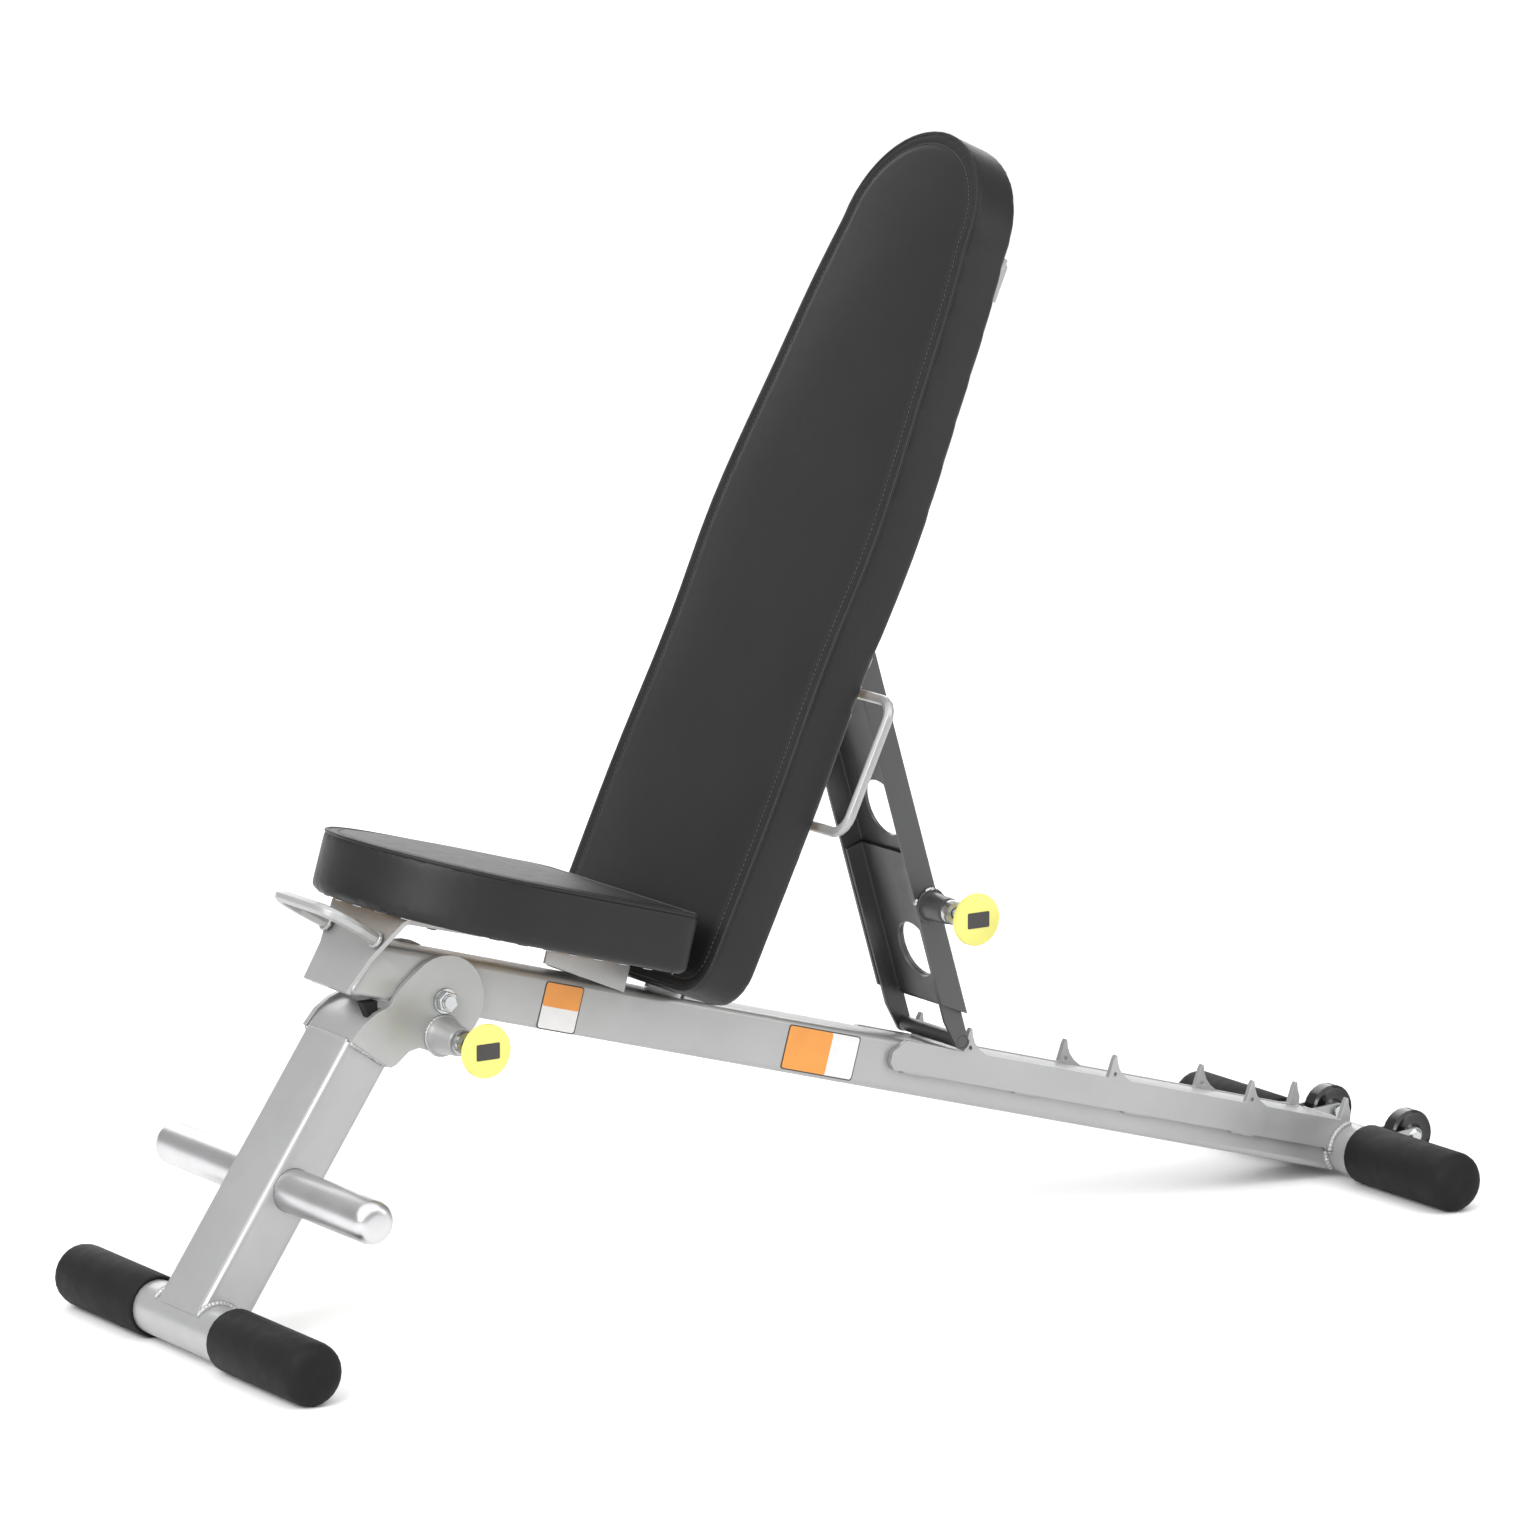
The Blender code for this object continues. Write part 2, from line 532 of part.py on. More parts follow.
def front_leg():
    upright = LEG @ Matrix.Translation((-TUBE_D / 2, 0, 0)) @ Matrix.Rotation(-math.pi / 2, 4, "Y")
    upright = upright @ Matrix.Translation((0, 0, -TUBE_D))
    tube = box_tube("leg_tube", LEG_TOP, upright, "silver_paint")
    foot_cut = drill(0, 0, FOOT_R + GAP, LEG, sides=36)
    peg_cut = drill(0, PEG_T, PEG_R + GAP, LEG, sides=24)
    below = cutter(box_mesh((-0.1, -0.1, -0.1), (0.1, 0.1, 0.0)), LEG)
    cut(tube, foot_cut, peg_cut, below)
    tip = 0.012
    profile = [(0, PEG_HALF)] + [(PEG_R - tip + tip * math.sin(a), PEG_HALF - tip + tip * math.cos(a))
                                 for a in [math.radians(d) for d in (0, 22, 45, 67, 90)]]
    profile += [(r, -h) for r, h in reversed(profile)]
    turned("plate_peg", profile, LEG @ Matrix.Translation((0, 0, PEG_T)) @ ALONG_Y, "chrome")


def leg_ears():
    """Cheek plates welded to the leg's sides; their round heads carry the pivot bolt."""
    px, pz = leg_local(*LEG_PIVOT)
    pin_x, pin_z = leg_local(*PIN_LEG)
    outline = [(-0.0250, LEG_TOP + 0.0010), (0.0250, LEG_TOP - 0.0005), (0.0290, LEG_TOP + 0.0046)]
    outline += [(0.0345, LEG_TOP + 0.0215), (0.0420, LEG_TOP + 0.0290)]
    outline += arc(pin_x, pin_z, 0.0180, -95, -10, 5)
    outline += arc(px, pz, 0.0425, -32, 165, 16)
    outline += [(-0.0061, pz - 0.0106), (-0.0072, pz - 0.0309), (-0.0165, pz - 0.0435), (-0.0228, pz - 0.0584)]
    bolt_hole = arc(px, pz, BOLT_R, 0, 337.5, 15)
    pin_hole = arc(pin_x, pin_z, PIN_R + 0.0005, 0, 330, 11)
    side_plate("leg_ear_left", [outline, bolt_hole], PLATE_Y, PLATE_T, LEG, "silver_paint")
    side_plate("leg_ear_right", [outline, bolt_hole, pin_hole], -PLATE_Y - PLATE_T, PLATE_T, LEG, "silver_paint")


def leg_saddle():
    """Curved strip between the cheek plates that closes the front of the leg above its tube."""
    rows = [(-0.0220, 0.0020), (-0.0210, 0.0100), (-0.0190, 0.0190), (-0.0150, 0.0280), (-0.0095, 0.0360),
            (-0.0040, 0.0415)]
    bm = bmesh.new()
    rungs = [(bm.verts.new((x, -0.0375, LEG_TOP + z)), bm.verts.new((x, 0.0375, LEG_TOP + z))) for x, z in rows]
    for (a, b), (c, d) in zip(rungs, rungs[1:]):
        bm.faces.new((a, c, d, b))
    bmesh.ops.recalc_face_normals(bm, faces=bm.faces)
    obj = add("leg_saddle", mesh_from(bm, "leg_saddle"), LEG, "silver_paint")
    solid = obj.modifiers.new("thickness", "SOLIDIFY")
    solid.thickness = 0.0030
    solid.offset = 0


# ---- Pull pins -----------------------------------------------------------------------------------
def pull_pin(prefix, point, face_y, tip_y):
    """A sprung pull pin along Y: housing on the plate's outer face, plunger, spring and round knob."""
    place = Matrix.Translation((point.x, face_y - GAP, point.z)) @ ALONG_MINUS_Y
    bore, guide = 0.0102, PIN_R + 0.0004
    housing = [(guide, HOUSING_LEN), (0.0090, HOUSING_LEN), (0.0098, HOUSING_LEN - 0.0010), (0.0098, 0.0355),
               (0.0138, 0.0345), (0.0142, 0.0330), (0.0142, 0.0060), (0.0165, 0.0045), (0.0172, 0.0030),
               (0.0172, 0.0), (guide, 0.0), (guide, 0.0030), (bore, 0.0030), (bore, 0.0380), (guide, 0.0380)]
    turned(prefix + "_pin_housing", housing, place, "zinc", 16)
    tip = -(tip_y - face_y)
    high, thick, radius = 0.0785, 0.0095, 0.0252
    low = high - thick
    neck_end = high - 0.0040
    plunger = [(0, neck_end), (PIN_R, neck_end), (PIN_R, 0.0190), (0.0090, 0.0190),
               (0.0090, 0.0150), (PIN_R, 0.0150), (PIN_R, tip + 0.0010), (PIN_R - 0.0010, tip), (0, tip)]
    turned(prefix + "_pin_plunger", plunger, place, "chrome", 12)
    knob = [(0, high), (radius - 0.0022, high), (radius - 0.0006, high - 0.0007), (radius, high - 0.0022),
            (radius, low + 0.0040), (radius - 0.0025, low + 0.0018), (0.0120, low), (PIN_R + GAP, low),
            (PIN_R + GAP, neck_end + GAP), (0, neck_end + GAP)]
    turned(prefix + "_pin_knob", knob, place, "knob_plastic")
    turns, pitch, coil = 4, 0.0014, 0.0076
    route = [(coil * math.cos(a), coil * math.sin(a), 0.0317 + pitch * a / math.tau)
             for a in [math.tau * i / 8 for i in range(turns * 8 + 1)]]
    curve = bpy.data.curves.new(prefix + "_pin_spring", "CURVE")
    curve.dimensions = "3D"
    curve.bevel_depth = 0.0005
    curve.bevel_resolution = 0
    curve.use_fill_caps = True
    spline = curve.splines.new("POLY")
    spline.points.add(len(route) - 1)
    for item, co in zip(spline.points, route):
        item.co = (*co, 1)
    add(prefix + "_pin_spring", curve, place, "zinc")


# ---- Backrest ------------------------------------------------------------------------------------
def pad_half_width(s):
    """Half width of the back pad at a height up its face, a smooth curve through its stations."""
    stations = PAD_STATIONS
    slopes = [(b[1] - a[1]) / (b[0] - a[0]) for a, b in zip(stations, stations[1:])]
    tangents = [slopes[0]] + [(a + b) / 2 for a, b in zip(slopes, slopes[1:])] + [slopes[-1]]
    for i, (a, b) in enumerate(zip(stations, stations[1:])):
        if s <= b[0]:
            h = b[0] - a[0]
            t = (s - a[0]) / h
            return ((2 * t**3 - 3 * t**2 + 1) * a[1] + (t**3 - 2 * t**2 + t) * h * tangents[i]
                    + (3 * t**2 - 2 * t**3) * b[1] + (t**3 - t**2) * h * tangents[i + 1])
    return stations[-1][1]


def back_outline(inset):
    """Plan of the back pad: rounded lower corners, waisted sides, an elliptical top."""
    corner = 0.0380
    side = [(pad_half_width(s), s) for s in [0.040 + 0.705 * i / 24 for i in range(25)]]
    top_w, top_h, top_s = side[-1][0], BACK_LEN - 0.745, 0.745
    crown = [(top_w * math.cos(a), top_s + top_h * math.sin(a)) for a in
             [math.pi * i / 24 for i in range(1, 24)]]
    foot_corner = arc(side[0][0] - corner, corner, corner, -90, 0, 6)[:-1]
    right = foot_corner + side
    loop = right + crown + [(-w, s) for w, s in reversed(right)]
    middle_s = BACK_LEN / 2
    scale_w, scale_s = 1 - inset / 0.125, 1 - inset / middle_s
    return [(w * scale_w, middle_s + (s - middle_s) * scale_s) for w, s in loop]


def backrest():
    facing = Matrix(((0, 0, -1, PAD_T + GAP + BOARD_T), (-1, 0, 0, 0), (0, 1, 0, 0), (0, 0, 0, 1)))
    cushion("back", back_outline, PAD_T, BOARD_T, BACK @ facing)
    bottom, top = 0.0140, 0.7500
    stand = BACK @ Matrix.Translation((SPINE_FRONT, 0, bottom)) @ Matrix.Rotation(-math.pi / 2, 4, "Y")
    stand = stand @ Matrix.Translation((0, 0, -SPINE_DEPTH))
    spine = box_tube("back_spine", top - bottom, stand, "silver_paint", depth=SPINE_DEPTH)
    notch = cutter(box_mesh((0.0, -LUG_Y - PLATE_T - 0.0013, -0.1), (0.2, LUG_Y + PLATE_T + 0.0013, 0.0460)), BACK)
    cut(spine, notch, drill(SPINE_MID, HINGE_S, BOLT_R, BACK), drill(SPINE_MID, STRUT_PIVOT_S, BOLT_R, BACK))
    for level, s in (("upper", 0.7140), ("lower", 0.1150)):
        for side, sign in (("left", 1), ("right", -1)):
            inner, outer = TUBE_W / 2 + GAP, 0.0700
            ys = sorted((sign * inner, sign * outer))
            wing = box_mesh((SPINE_FRONT, ys[0], s), (SPINE_FRONT + 0.0235, ys[1], s + 0.0360), 0.002, 2)
            tray = box_mesh((SPINE_FRONT + 0.0035, -0.2, s - 0.1), (SPINE_FRONT + 0.1, 0.2, s + 0.0325))
            obj = add(f"{level}_bracket_{side}", wing, BACK, "silver_paint")
            cut(obj, cutter(tray, BACK))
    half_w, low_s, high_s, depth = 0.1680, 0.1880, 0.3180, 0.0640
    inner = -TUBE_W / 2 - GAP
    points = [(depth, inner, low_s), (depth, -half_w, low_s), (depth, -half_w, high_s), (depth, inner, high_s)]
    wire("back_handle", points, 0.0050, BACK, "silver_paint", bend=0.0180)


# ---- Strut ---------------------------------------------------------------------------------------
def strut_channel(name, loop, half_w, web_x, wall, holes):
    """A channel open to the front: its side view pulled across, hollowed, then cut by its holes."""
    mesh = outline_mesh([loop], 2 * half_w)
    bm = bmesh.new()
    bm.from_mesh(mesh)
    long_edges = [e for e in bm.edges if e.calc_length() > 0.05
                  and min(v.co.x for v in e.verts) > web_x - 0.0005
                  and abs(e.verts[0].co.z - e.verts[1].co.z) < 0.001]
    bmesh.ops.bevel(bm, geom=long_edges, offset=0.0030, segments=3, profile=0.5, affect="EDGES")
    bpy.data.meshes.remove(mesh)
    obj = add(name, mesh_from(bm, name, 35), STRUT @ UPRIGHT, "charcoal_paint")
    hollow = cutter(box_mesh((-0.1, -half_w + wall, -0.6), (web_x - wall, half_w - wall, 0.1), 0.002, 2, 2), STRUT)
    cut(obj, hollow, *holes)
    return obj


def web_slot(high, low, half_w):
    """An obround cutter through the web, between two distances down the strut."""
    mesh = box_mesh((-0.004, -half_w, -low), (0.05, half_w, -high), half_w * 0.98, 6, 0)
    return cutter(mesh, STRUT)


def strut():
    front_end, rear_end = OUTER_END
    head = (STRUT_WEB_X - STRUT_EDGE_X) / 2
    outer_loop = arc(STRUT_EDGE_X + head, 0, head, 180, 0, 8)
    outer_loop += [(STRUT_WEB_X, -rear_end), (STRUT_EDGE_X, -front_end)]
    no_web = cutter(box_mesh((-0.05, -STRUT_HALF_W + STRUT_WALL, -0.0600),
                             (0.05, STRUT_HALF_W - STRUT_WALL, 0.05)), STRUT)
    holes = [no_web, drill(0, 0, BOLT_R, STRUT)]
    holes += [web_slot(high, low, 0.0270) for high, low in STRUT_SLOTS]
    holes.append(cutter(rod_mesh(PIN_R + 0.0005, 0.02, 12),
                        STRUT @ Matrix.Translation((STRUT_PIN_X, -STRUT_HALF_W, -STRUT_PIN_T)) @ ALONG_Y))
    strut_channel("strut_outer", outer_loop, STRUT_HALF_W, STRUT_WEB_X, STRUT_WALL, holes)

    wall = 0.0034
    half_w = STRUT_HALF_W - STRUT_WALL - GAP
    web_x = STRUT_WEB_X - STRUT_WALL - GAP
    edge_x = STRUT_EDGE_X + 0.0010
    inner_loop = [(edge_x, -SLIDER_TOP), (web_x, -SLIDER_TOP)]
    inner_loop += arc(ROD_X, -STRUT_LEN, web_x - ROD_X, 0, -165, 9)
    inner_loop.append((edge_x, -STRUT_LEN + 0.0260))
    window = cutter(box_mesh((-0.05, -half_w + wall, -STRUT_LEN - 0.05),
                             (0.05, half_w - wall, -STRUT_LEN + 0.0330)), STRUT)
    slot = web_slot(STRUT_SLOTS[1][0] - 0.0005, STRUT_SLOTS[1][1] + 0.0005, 0.0270)
    rod_hole = drill(ROD_X, -STRUT_LEN, ROD_R - 0.0012 + GAP, STRUT)
    strut_channel("strut_slider", inner_loop, half_w, web_x, wall, [window, slot, rod_hole])
    neck = half_w - wall - GAP
    rod = [(0, half_w), (ROD_R - 0.0012, half_w), (ROD_R - 0.0012, neck), (ROD_R, neck)]
    rod += [(r, -y) for r, y in reversed(rod)]
    turned("cross_rod", rod, STRUT @ Matrix.Translation((ROD_X, 0, -STRUT_LEN)) @ ALONG_Y, "charcoal_paint", 16)
    length = STRUT_HALF_W - STRUT_WALL - TUBE_W / 2 - 2 * GAP
    spacer = [(0.0095, length), (0.0095, 0.0), (BOLT_R + GAP, 0.0), (BOLT_R + GAP, length)]
    for side, sign in (("left", 1), ("right", -1)):
        place = STRUT @ Matrix.Translation((0, sign * (TUBE_W / 2 + GAP), 0))
        turned(f"strut_spacer_{side}", spacer, place @ (ALONG_Y if sign > 0 else ALONG_MINUS_Y), "zinc", 16)


def main():
    clear_scene()
    foot("front", 0)
    foot("rear", REAR_FOOT_X)
    main_beam()
    front_plate()
    seat_handle()
    ladder_plates()
    leg_lock_plate()
    seat_bracket()
    seat()
    back_lugs()
    wheels()
    front_leg()
    leg_ears()
    leg_saddle()
    bolt("leg_pivot_bolt", LEG_PIVOT[0], LEG_PIVOT[1], WORLD, PLATE_Y + PLATE_T, head_r=0.0120)
    hinge = hinge_point()
    bolt("back_hinge_bolt", hinge[0], hinge[1], WORLD, TUBE_W / 2)
    backrest()
    strut()
    bolt("strut_pivot_bolt", 0, 0, STRUT, STRUT_HALF_W)
    ear_face = -PLATE_Y - PLATE_T
    pull_pin("leg", Vector((PIN_LEG[0] - ORIGIN_X, 0, PIN_LEG[1])), ear_face, -PLATE_Y - 0.0002)
    strut_pin = STRUT @ Vector((STRUT_PIN_X, 0, -STRUT_PIN_T))
    pull_pin("strut", strut_pin, -STRUT_HALF_W, -STRUT_HALF_W + STRUT_WALL)


main()
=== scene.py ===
"""Looks of the adjustable weight bench.

Sewn vinyl cushions, powder coat, weld beads, fasteners and labels, then light and camera.
Metres, in the CAD part's own frame: +X from the front foot to the wheels, +Z up.
"""
import json
import math

import bmesh
import bpy
from mathutils import Matrix, Vector
from mathutils.bvhtree import BVHTree

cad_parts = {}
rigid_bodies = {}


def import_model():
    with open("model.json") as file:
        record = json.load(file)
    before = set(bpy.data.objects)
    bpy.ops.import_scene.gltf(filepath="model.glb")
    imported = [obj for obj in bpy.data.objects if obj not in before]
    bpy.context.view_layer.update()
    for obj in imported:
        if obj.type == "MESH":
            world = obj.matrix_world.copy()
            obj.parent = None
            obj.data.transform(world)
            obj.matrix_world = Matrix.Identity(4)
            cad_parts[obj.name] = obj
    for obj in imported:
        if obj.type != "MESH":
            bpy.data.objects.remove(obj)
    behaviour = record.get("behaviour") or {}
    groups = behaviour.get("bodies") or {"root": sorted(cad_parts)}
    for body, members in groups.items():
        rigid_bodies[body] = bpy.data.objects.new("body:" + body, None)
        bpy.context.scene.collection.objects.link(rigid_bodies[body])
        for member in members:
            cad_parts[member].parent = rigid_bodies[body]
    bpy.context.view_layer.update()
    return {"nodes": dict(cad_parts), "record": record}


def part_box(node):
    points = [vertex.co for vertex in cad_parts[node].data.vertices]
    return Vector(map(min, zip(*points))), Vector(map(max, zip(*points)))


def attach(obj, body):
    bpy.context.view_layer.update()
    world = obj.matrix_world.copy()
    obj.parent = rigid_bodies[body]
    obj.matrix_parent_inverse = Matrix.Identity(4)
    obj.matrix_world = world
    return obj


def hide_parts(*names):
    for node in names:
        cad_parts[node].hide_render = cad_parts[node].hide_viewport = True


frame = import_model()
nodes = frame["nodes"]
scene = bpy.context.scene

# ---- Driving dimensions ------------------------------------------------------------------------
BEAM_TILT = math.atan(0.28)
BEAM_SKEW = math.radians(20)        # slant of the beam's front end
BEAM_Z = 0.3625                     # height of the beam's underside, right over the front foot's axis
LEG_TILT = math.radians(34.2)
LEG_TUBE_TOP = 0.2860               # end of the leg tube, from its foot's axis
BACK_TILT = math.radians(25.3)
BACK_X, BACK_Z = 0.4544, 0.3000     # back pad's lower front edge: behind the front foot's axis, height
FOOT_R = 0.0254
TUBE_HALF_W = 0.0381
PLATE_OUTER_Y = 0.0444              # outer face of the plates that straddle the tubes
STRUT_HALF_W = 0.0545
HANDLE_FOOT_X, HANDLE_FOOT_Y, HANDLE_FOOT_Z = 0.1691, 0.0440, 0.3713     # seat handle's ends
HANDLE_RISE = math.radians(32)

BACK_THICK = 0.0518                 # cushions with their boards' wrapped edges
SEAT_THICK = 0.0578
LOOP_STEP = 0.006                   # spacing of points along a cushion's outline
VOXEL = 0.005                       # cushion mesh before its subdivision
HELD_HEIGHT = 0.017                 # part of a cushion's side that doesn't swell
RIM_HELD, RIM_FREE = 0.003, 0.006   # distances from the rim seam: held still, free to swell
PRESSURE = 4.0
STIFFNESS = 12.0
SIM_FRAMES = 20
CROWN_CAP = 0.0060                  # furthest that a cushion may swell
RIM_INSET, RIM_DROP, RIM_R = 0.0026, 0.0020, 0.0020     # seam around a cushion's face
EDGE_INSET, EDGE_DROP = 0.0014, 0.0010                  # line along a cushion's face edge
GROOVE_DEPTH, GROOVE_WIDTH = 0.0013, 0.0030             # dip that the topstitching pulls in
STITCH_INSET = 0.0130
STITCH_LEN = 0.0034
STITCH_PITCH = 0.0048
STITCH_END_R, STITCH_R, STITCH_LIFT = 0.00022, 0.00042, 0.0004
STAPLE_INSET, STAPLE_PITCH, STAPLE_HALF, STAPLE_R = 0.0080, 0.0280, 0.0050, 0.0006

BEAD_PITCH = 0.0036                 # length of one ripple of a weld bead
BEAD_LIFT = 0.0006                  # height of a bead's line above a tube's side
LADDER_BEAD_U = (0.770, 0.905, 1.040, 1.175)    # starts of the beads under the ladder plates
LADDER_BEAD_LEN = 0.030
LADDER_BEAD_Y, LADDER_BEAD_V = 0.0412, 0.0212
LADDER_END_Y = 0.0452               # just outside the ladder plates
BACK_HANDLE_S = (0.1880, 0.3180)    # ends of the back handle, up the back
BACK_HANDLE_X = 0.0640

BOLT_R = 0.0057
HEX_R, HEAD_HEIGHT, NUT_HEIGHT = 0.0104, 0.0053, 0.0057
NUT_RING_R = 0.0074                 # plastic ring of the lock nut
WASHER_R, WASHER_THICK = 0.0118, 0.0015
EDGE_SOFTENING = 0.0006             # bevel on the CAD pieces' edges
SEAM_GAP = 0.00002                  # vertices closer than this are one

CAMERA_TARGET = Vector((-0.0435, 0.0, 0.4730))
CAMERA_AZIMUTH = 33.65              # angles in degrees
CAMERA_ELEVATION = 10.97
CAMERA_ROLL = 0.10
CAMERA_DISTANCE = 7.428
CAMERA_LENS = 185.44


# ---- Frames --------------------------------------------------------------------------------------
def side_frame(origin, tilt=0.0):
    """A frame in the bench's side view: local Z up a part, turned by tilt about Y."""
    return Matrix.Translation(origin) @ Matrix.Rotation(tilt, 4, "Y")


def box_middle(node, y=None):
    """The middle of a CAD node's box, at this y if one is given."""
    low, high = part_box(node)
    return Vector(((low.x + high.x) / 2, (low.y + high.y) / 2 if y is None else y, (low.z + high.z) / 2))


def on_circle(radius, degrees):
    turn = math.radians(degrees)
    return radius * math.cos(turn), radius * math.sin(turn)


SIDES = (("left", 1), ("right", -1))
X_AXIS, Y_AXIS, Z_AXIS = (1, 0, 0), (0, 1, 0), (0, 0, 1)
FRONT_FOOT = box_middle("front_foot_tube", 0)
REAR_FOOT = box_middle("rear_foot_tube", 0)
BEAM = side_frame((FRONT_FOOT.x, 0, BEAM_Z), BEAM_TILT)
LEG = side_frame(FRONT_FOOT, LEG_TILT)
BACK = side_frame((FRONT_FOOT.x + BACK_X, 0, BACK_Z), BACK_TILT)
FACING_FRONT = Matrix(((0, 0, -1, 0), (-1, 0, 0, 0), (0, 1, 0, 0), (0, 0, 0, 1)))  # local Z to -X
FACING_RIGHT = Matrix(((1, 0, 0, 0), (0, 0, -1, 0), (0, 1, 0, 0), (0, 0, 0, 1)))   # local Z to -Y


# ---- Materials -----------------------------------------------------------------------------------
NOISE_RANGE = (0.3, 0.7)


class Nodes:
    """A short way to write one material's node tree."""

    def __init__(self, name):
        self.material = bpy.data.materials.new(name)
        self.material.use_nodes = True
        self.tree = self.material.node_tree
        self.shader = self.tree.nodes["Principled BSDF"]
        self.place = self.tree.nodes.new("ShaderNodeTexCoord").outputs["Object"]

    def new(self, kind, inputs=(), **attributes):
        node = self.tree.nodes.new(kind)
        for key, value in attributes.items():
            setattr(node, key, value)
        for key, value in inputs:
            node.inputs[key].default_value = value
        return node

    def link(self, output, target):
        self.tree.links.new(output, target)

    def noise(self, scale, detail, stretch=None):
        node = self.new("ShaderNodeTexNoise", (("Scale", scale), ("Detail", detail)))
        place = self.place
        if stretch:
            mapping = self.new("ShaderNodeMapping", (("Scale", stretch),))
            self.link(place, mapping.inputs["Vector"])
            place = mapping.outputs["Vector"]
        self.link(place, node.inputs["Vector"])
        return node.outputs["Fac"]

    def cells(self, scale):
        node = self.new("ShaderNodeTexVoronoi", (("Scale", scale),), feature="SMOOTH_F1")
        self.link(self.place, node.inputs["Vector"])
        return node.outputs["Distance"]

    def spread(self, value, low, high):
        """A noise value, which seldom leaves NOISE_RANGE, stretched over low to high."""
        node = self.new("ShaderNodeMapRange", (("From Min", NOISE_RANGE[0]), ("From Max", NOISE_RANGE[1]),
                                               ("To Min", low), ("To Max", high)))
        self.link(value, node.inputs["Value"])
        return node.outputs["Result"]

    def tint(self, value, first, second):
        """Base colour between two colours."""
        node = self.new("ShaderNodeMix", data_type="RGBA")
        mixed = [socket for socket in node.inputs if socket.type == "RGBA"]
        mixed[0].default_value = (*first, 1)
        mixed[1].default_value = (*second, 1)
        self.link(value, node.inputs[0])
        color = [socket for socket in node.outputs if socket.type == "RGBA"][0]
        self.link(color, self.shader.inputs["Base Color"])

    def rough(self, value, low, high):
        self.link(self.spread(value, low, high), self.shader.inputs["Roughness"])

    def bumps(self, *layers):
        """Height layers, each (value, strength, distance in metres)."""
        normal = None
        for value, strength, distance in layers:
            node = self.new("ShaderNodeBump", (("Strength", strength), ("Distance", distance)))
            self.link(value, node.inputs["Height"])
            if normal:
                self.link(normal, node.inputs["Normal"])
            normal = node.outputs["Normal"]
        self.link(normal, self.shader.inputs["Normal"])

    def constants(self, **values):
        """Inputs of the shader itself, such as Coat_Weight."""
        for key, value in values.items():
            self.shader.inputs[key.replace("_", " ")].default_value = value


def scaled(color, factor):
    return tuple(min(1.0, channel * factor) for channel in color)


def powder_coat(name, color, metallic, rough, sparkle):
    """Satin powder coat: faint orange peel, fine metal flake and slow changes of tone."""
    n = Nodes(name)
    slow = n.noise(9, 4)
    flake = n.noise(2600, 1)
    blend = n.new("ShaderNodeMath", operation="MULTIPLY_ADD")
    n.link(flake, blend.inputs[0])
    blend.inputs[1].default_value = sparkle
    n.link(n.spread(slow, 0.0, 1.0 - sparkle), blend.inputs[2])
    n.tint(blend.outputs[0], scaled(color, 0.93), scaled(color, 1.06))
    n.rough(n.noise(60, 3), rough - 0.05, rough + 0.06)
    n.bumps((n.noise(420, 2), 0.10, 0.0004), (flake, 0.05, 0.0001))
    n.constants(Metallic=metallic, Coat_Weight=0.12, Coat_Roughness=0.22)
    return n.material


def polished_metal(name, color, rough, scratch):
    """Plated metal: fine scratches along it, faint smears in its gloss."""
    n = Nodes(name)
    n.tint(n.spread(n.noise(25, 4), 0, 1), scaled(color, 0.92), scaled(color, 1.05))
    n.rough(n.noise(30, 2, (1.0, 0.3, 1.0)), rough - 0.02, rough + 0.03)
    n.bumps((n.noise(500, 2, (1.0, 0.02, 1.0)), scratch, 0.0001))
    n.constants(Metallic=1.0)
    return n.material


def vinyl(name, color):
    """Upholstery vinyl: a pressed leather grain of small cells, with soft changes of gloss."""
    n = Nodes(name)
    n.tint(n.spread(n.noise(14, 5), 0, 1), scaled(color, 0.93), scaled(color, 1.07))
    n.rough(n.noise(90, 4), 0.42, 0.47)
    n.bumps((n.noise(7, 1), 0.04, 0.002), (n.cells(720), 0.20, 0.00035),
            (n.noise(1900, 3), 0.14, 0.00015))
    n.constants(Specular_IOR_Level=0.25)
    return n.material


def moulded(name, color, rough, grain, strength, gloss=0.5):
    """Moulded rubber or plastic with an even fine texture."""
    n = Nodes(name)
    n.tint(n.spread(n.noise(18, 4), 0, 1), scaled(color, 0.88), scaled(color, 1.12))
    n.rough(n.noise(70, 3), rough - 0.05, rough + 0.05)
    n.bumps((n.noise(grain, 3), strength, 0.0003))
    n.constants(Specular_IOR_Level=gloss)
    return n.material


def plywood(name):
    """Plywood board: long grain lines of lighter and darker wood."""
    n = Nodes(name)
    grain = n.noise(90, 6, (1.0, 1.0, 0.05))
    n.tint(n.spread(grain, 0, 1), (0.36, 0.25, 0.145), (0.46, 0.33, 0.20))
    n.rough(n.noise(40, 3), 0.6, 0.8)
    n.bumps((grain, 0.25, 0.0004))
    return n.material


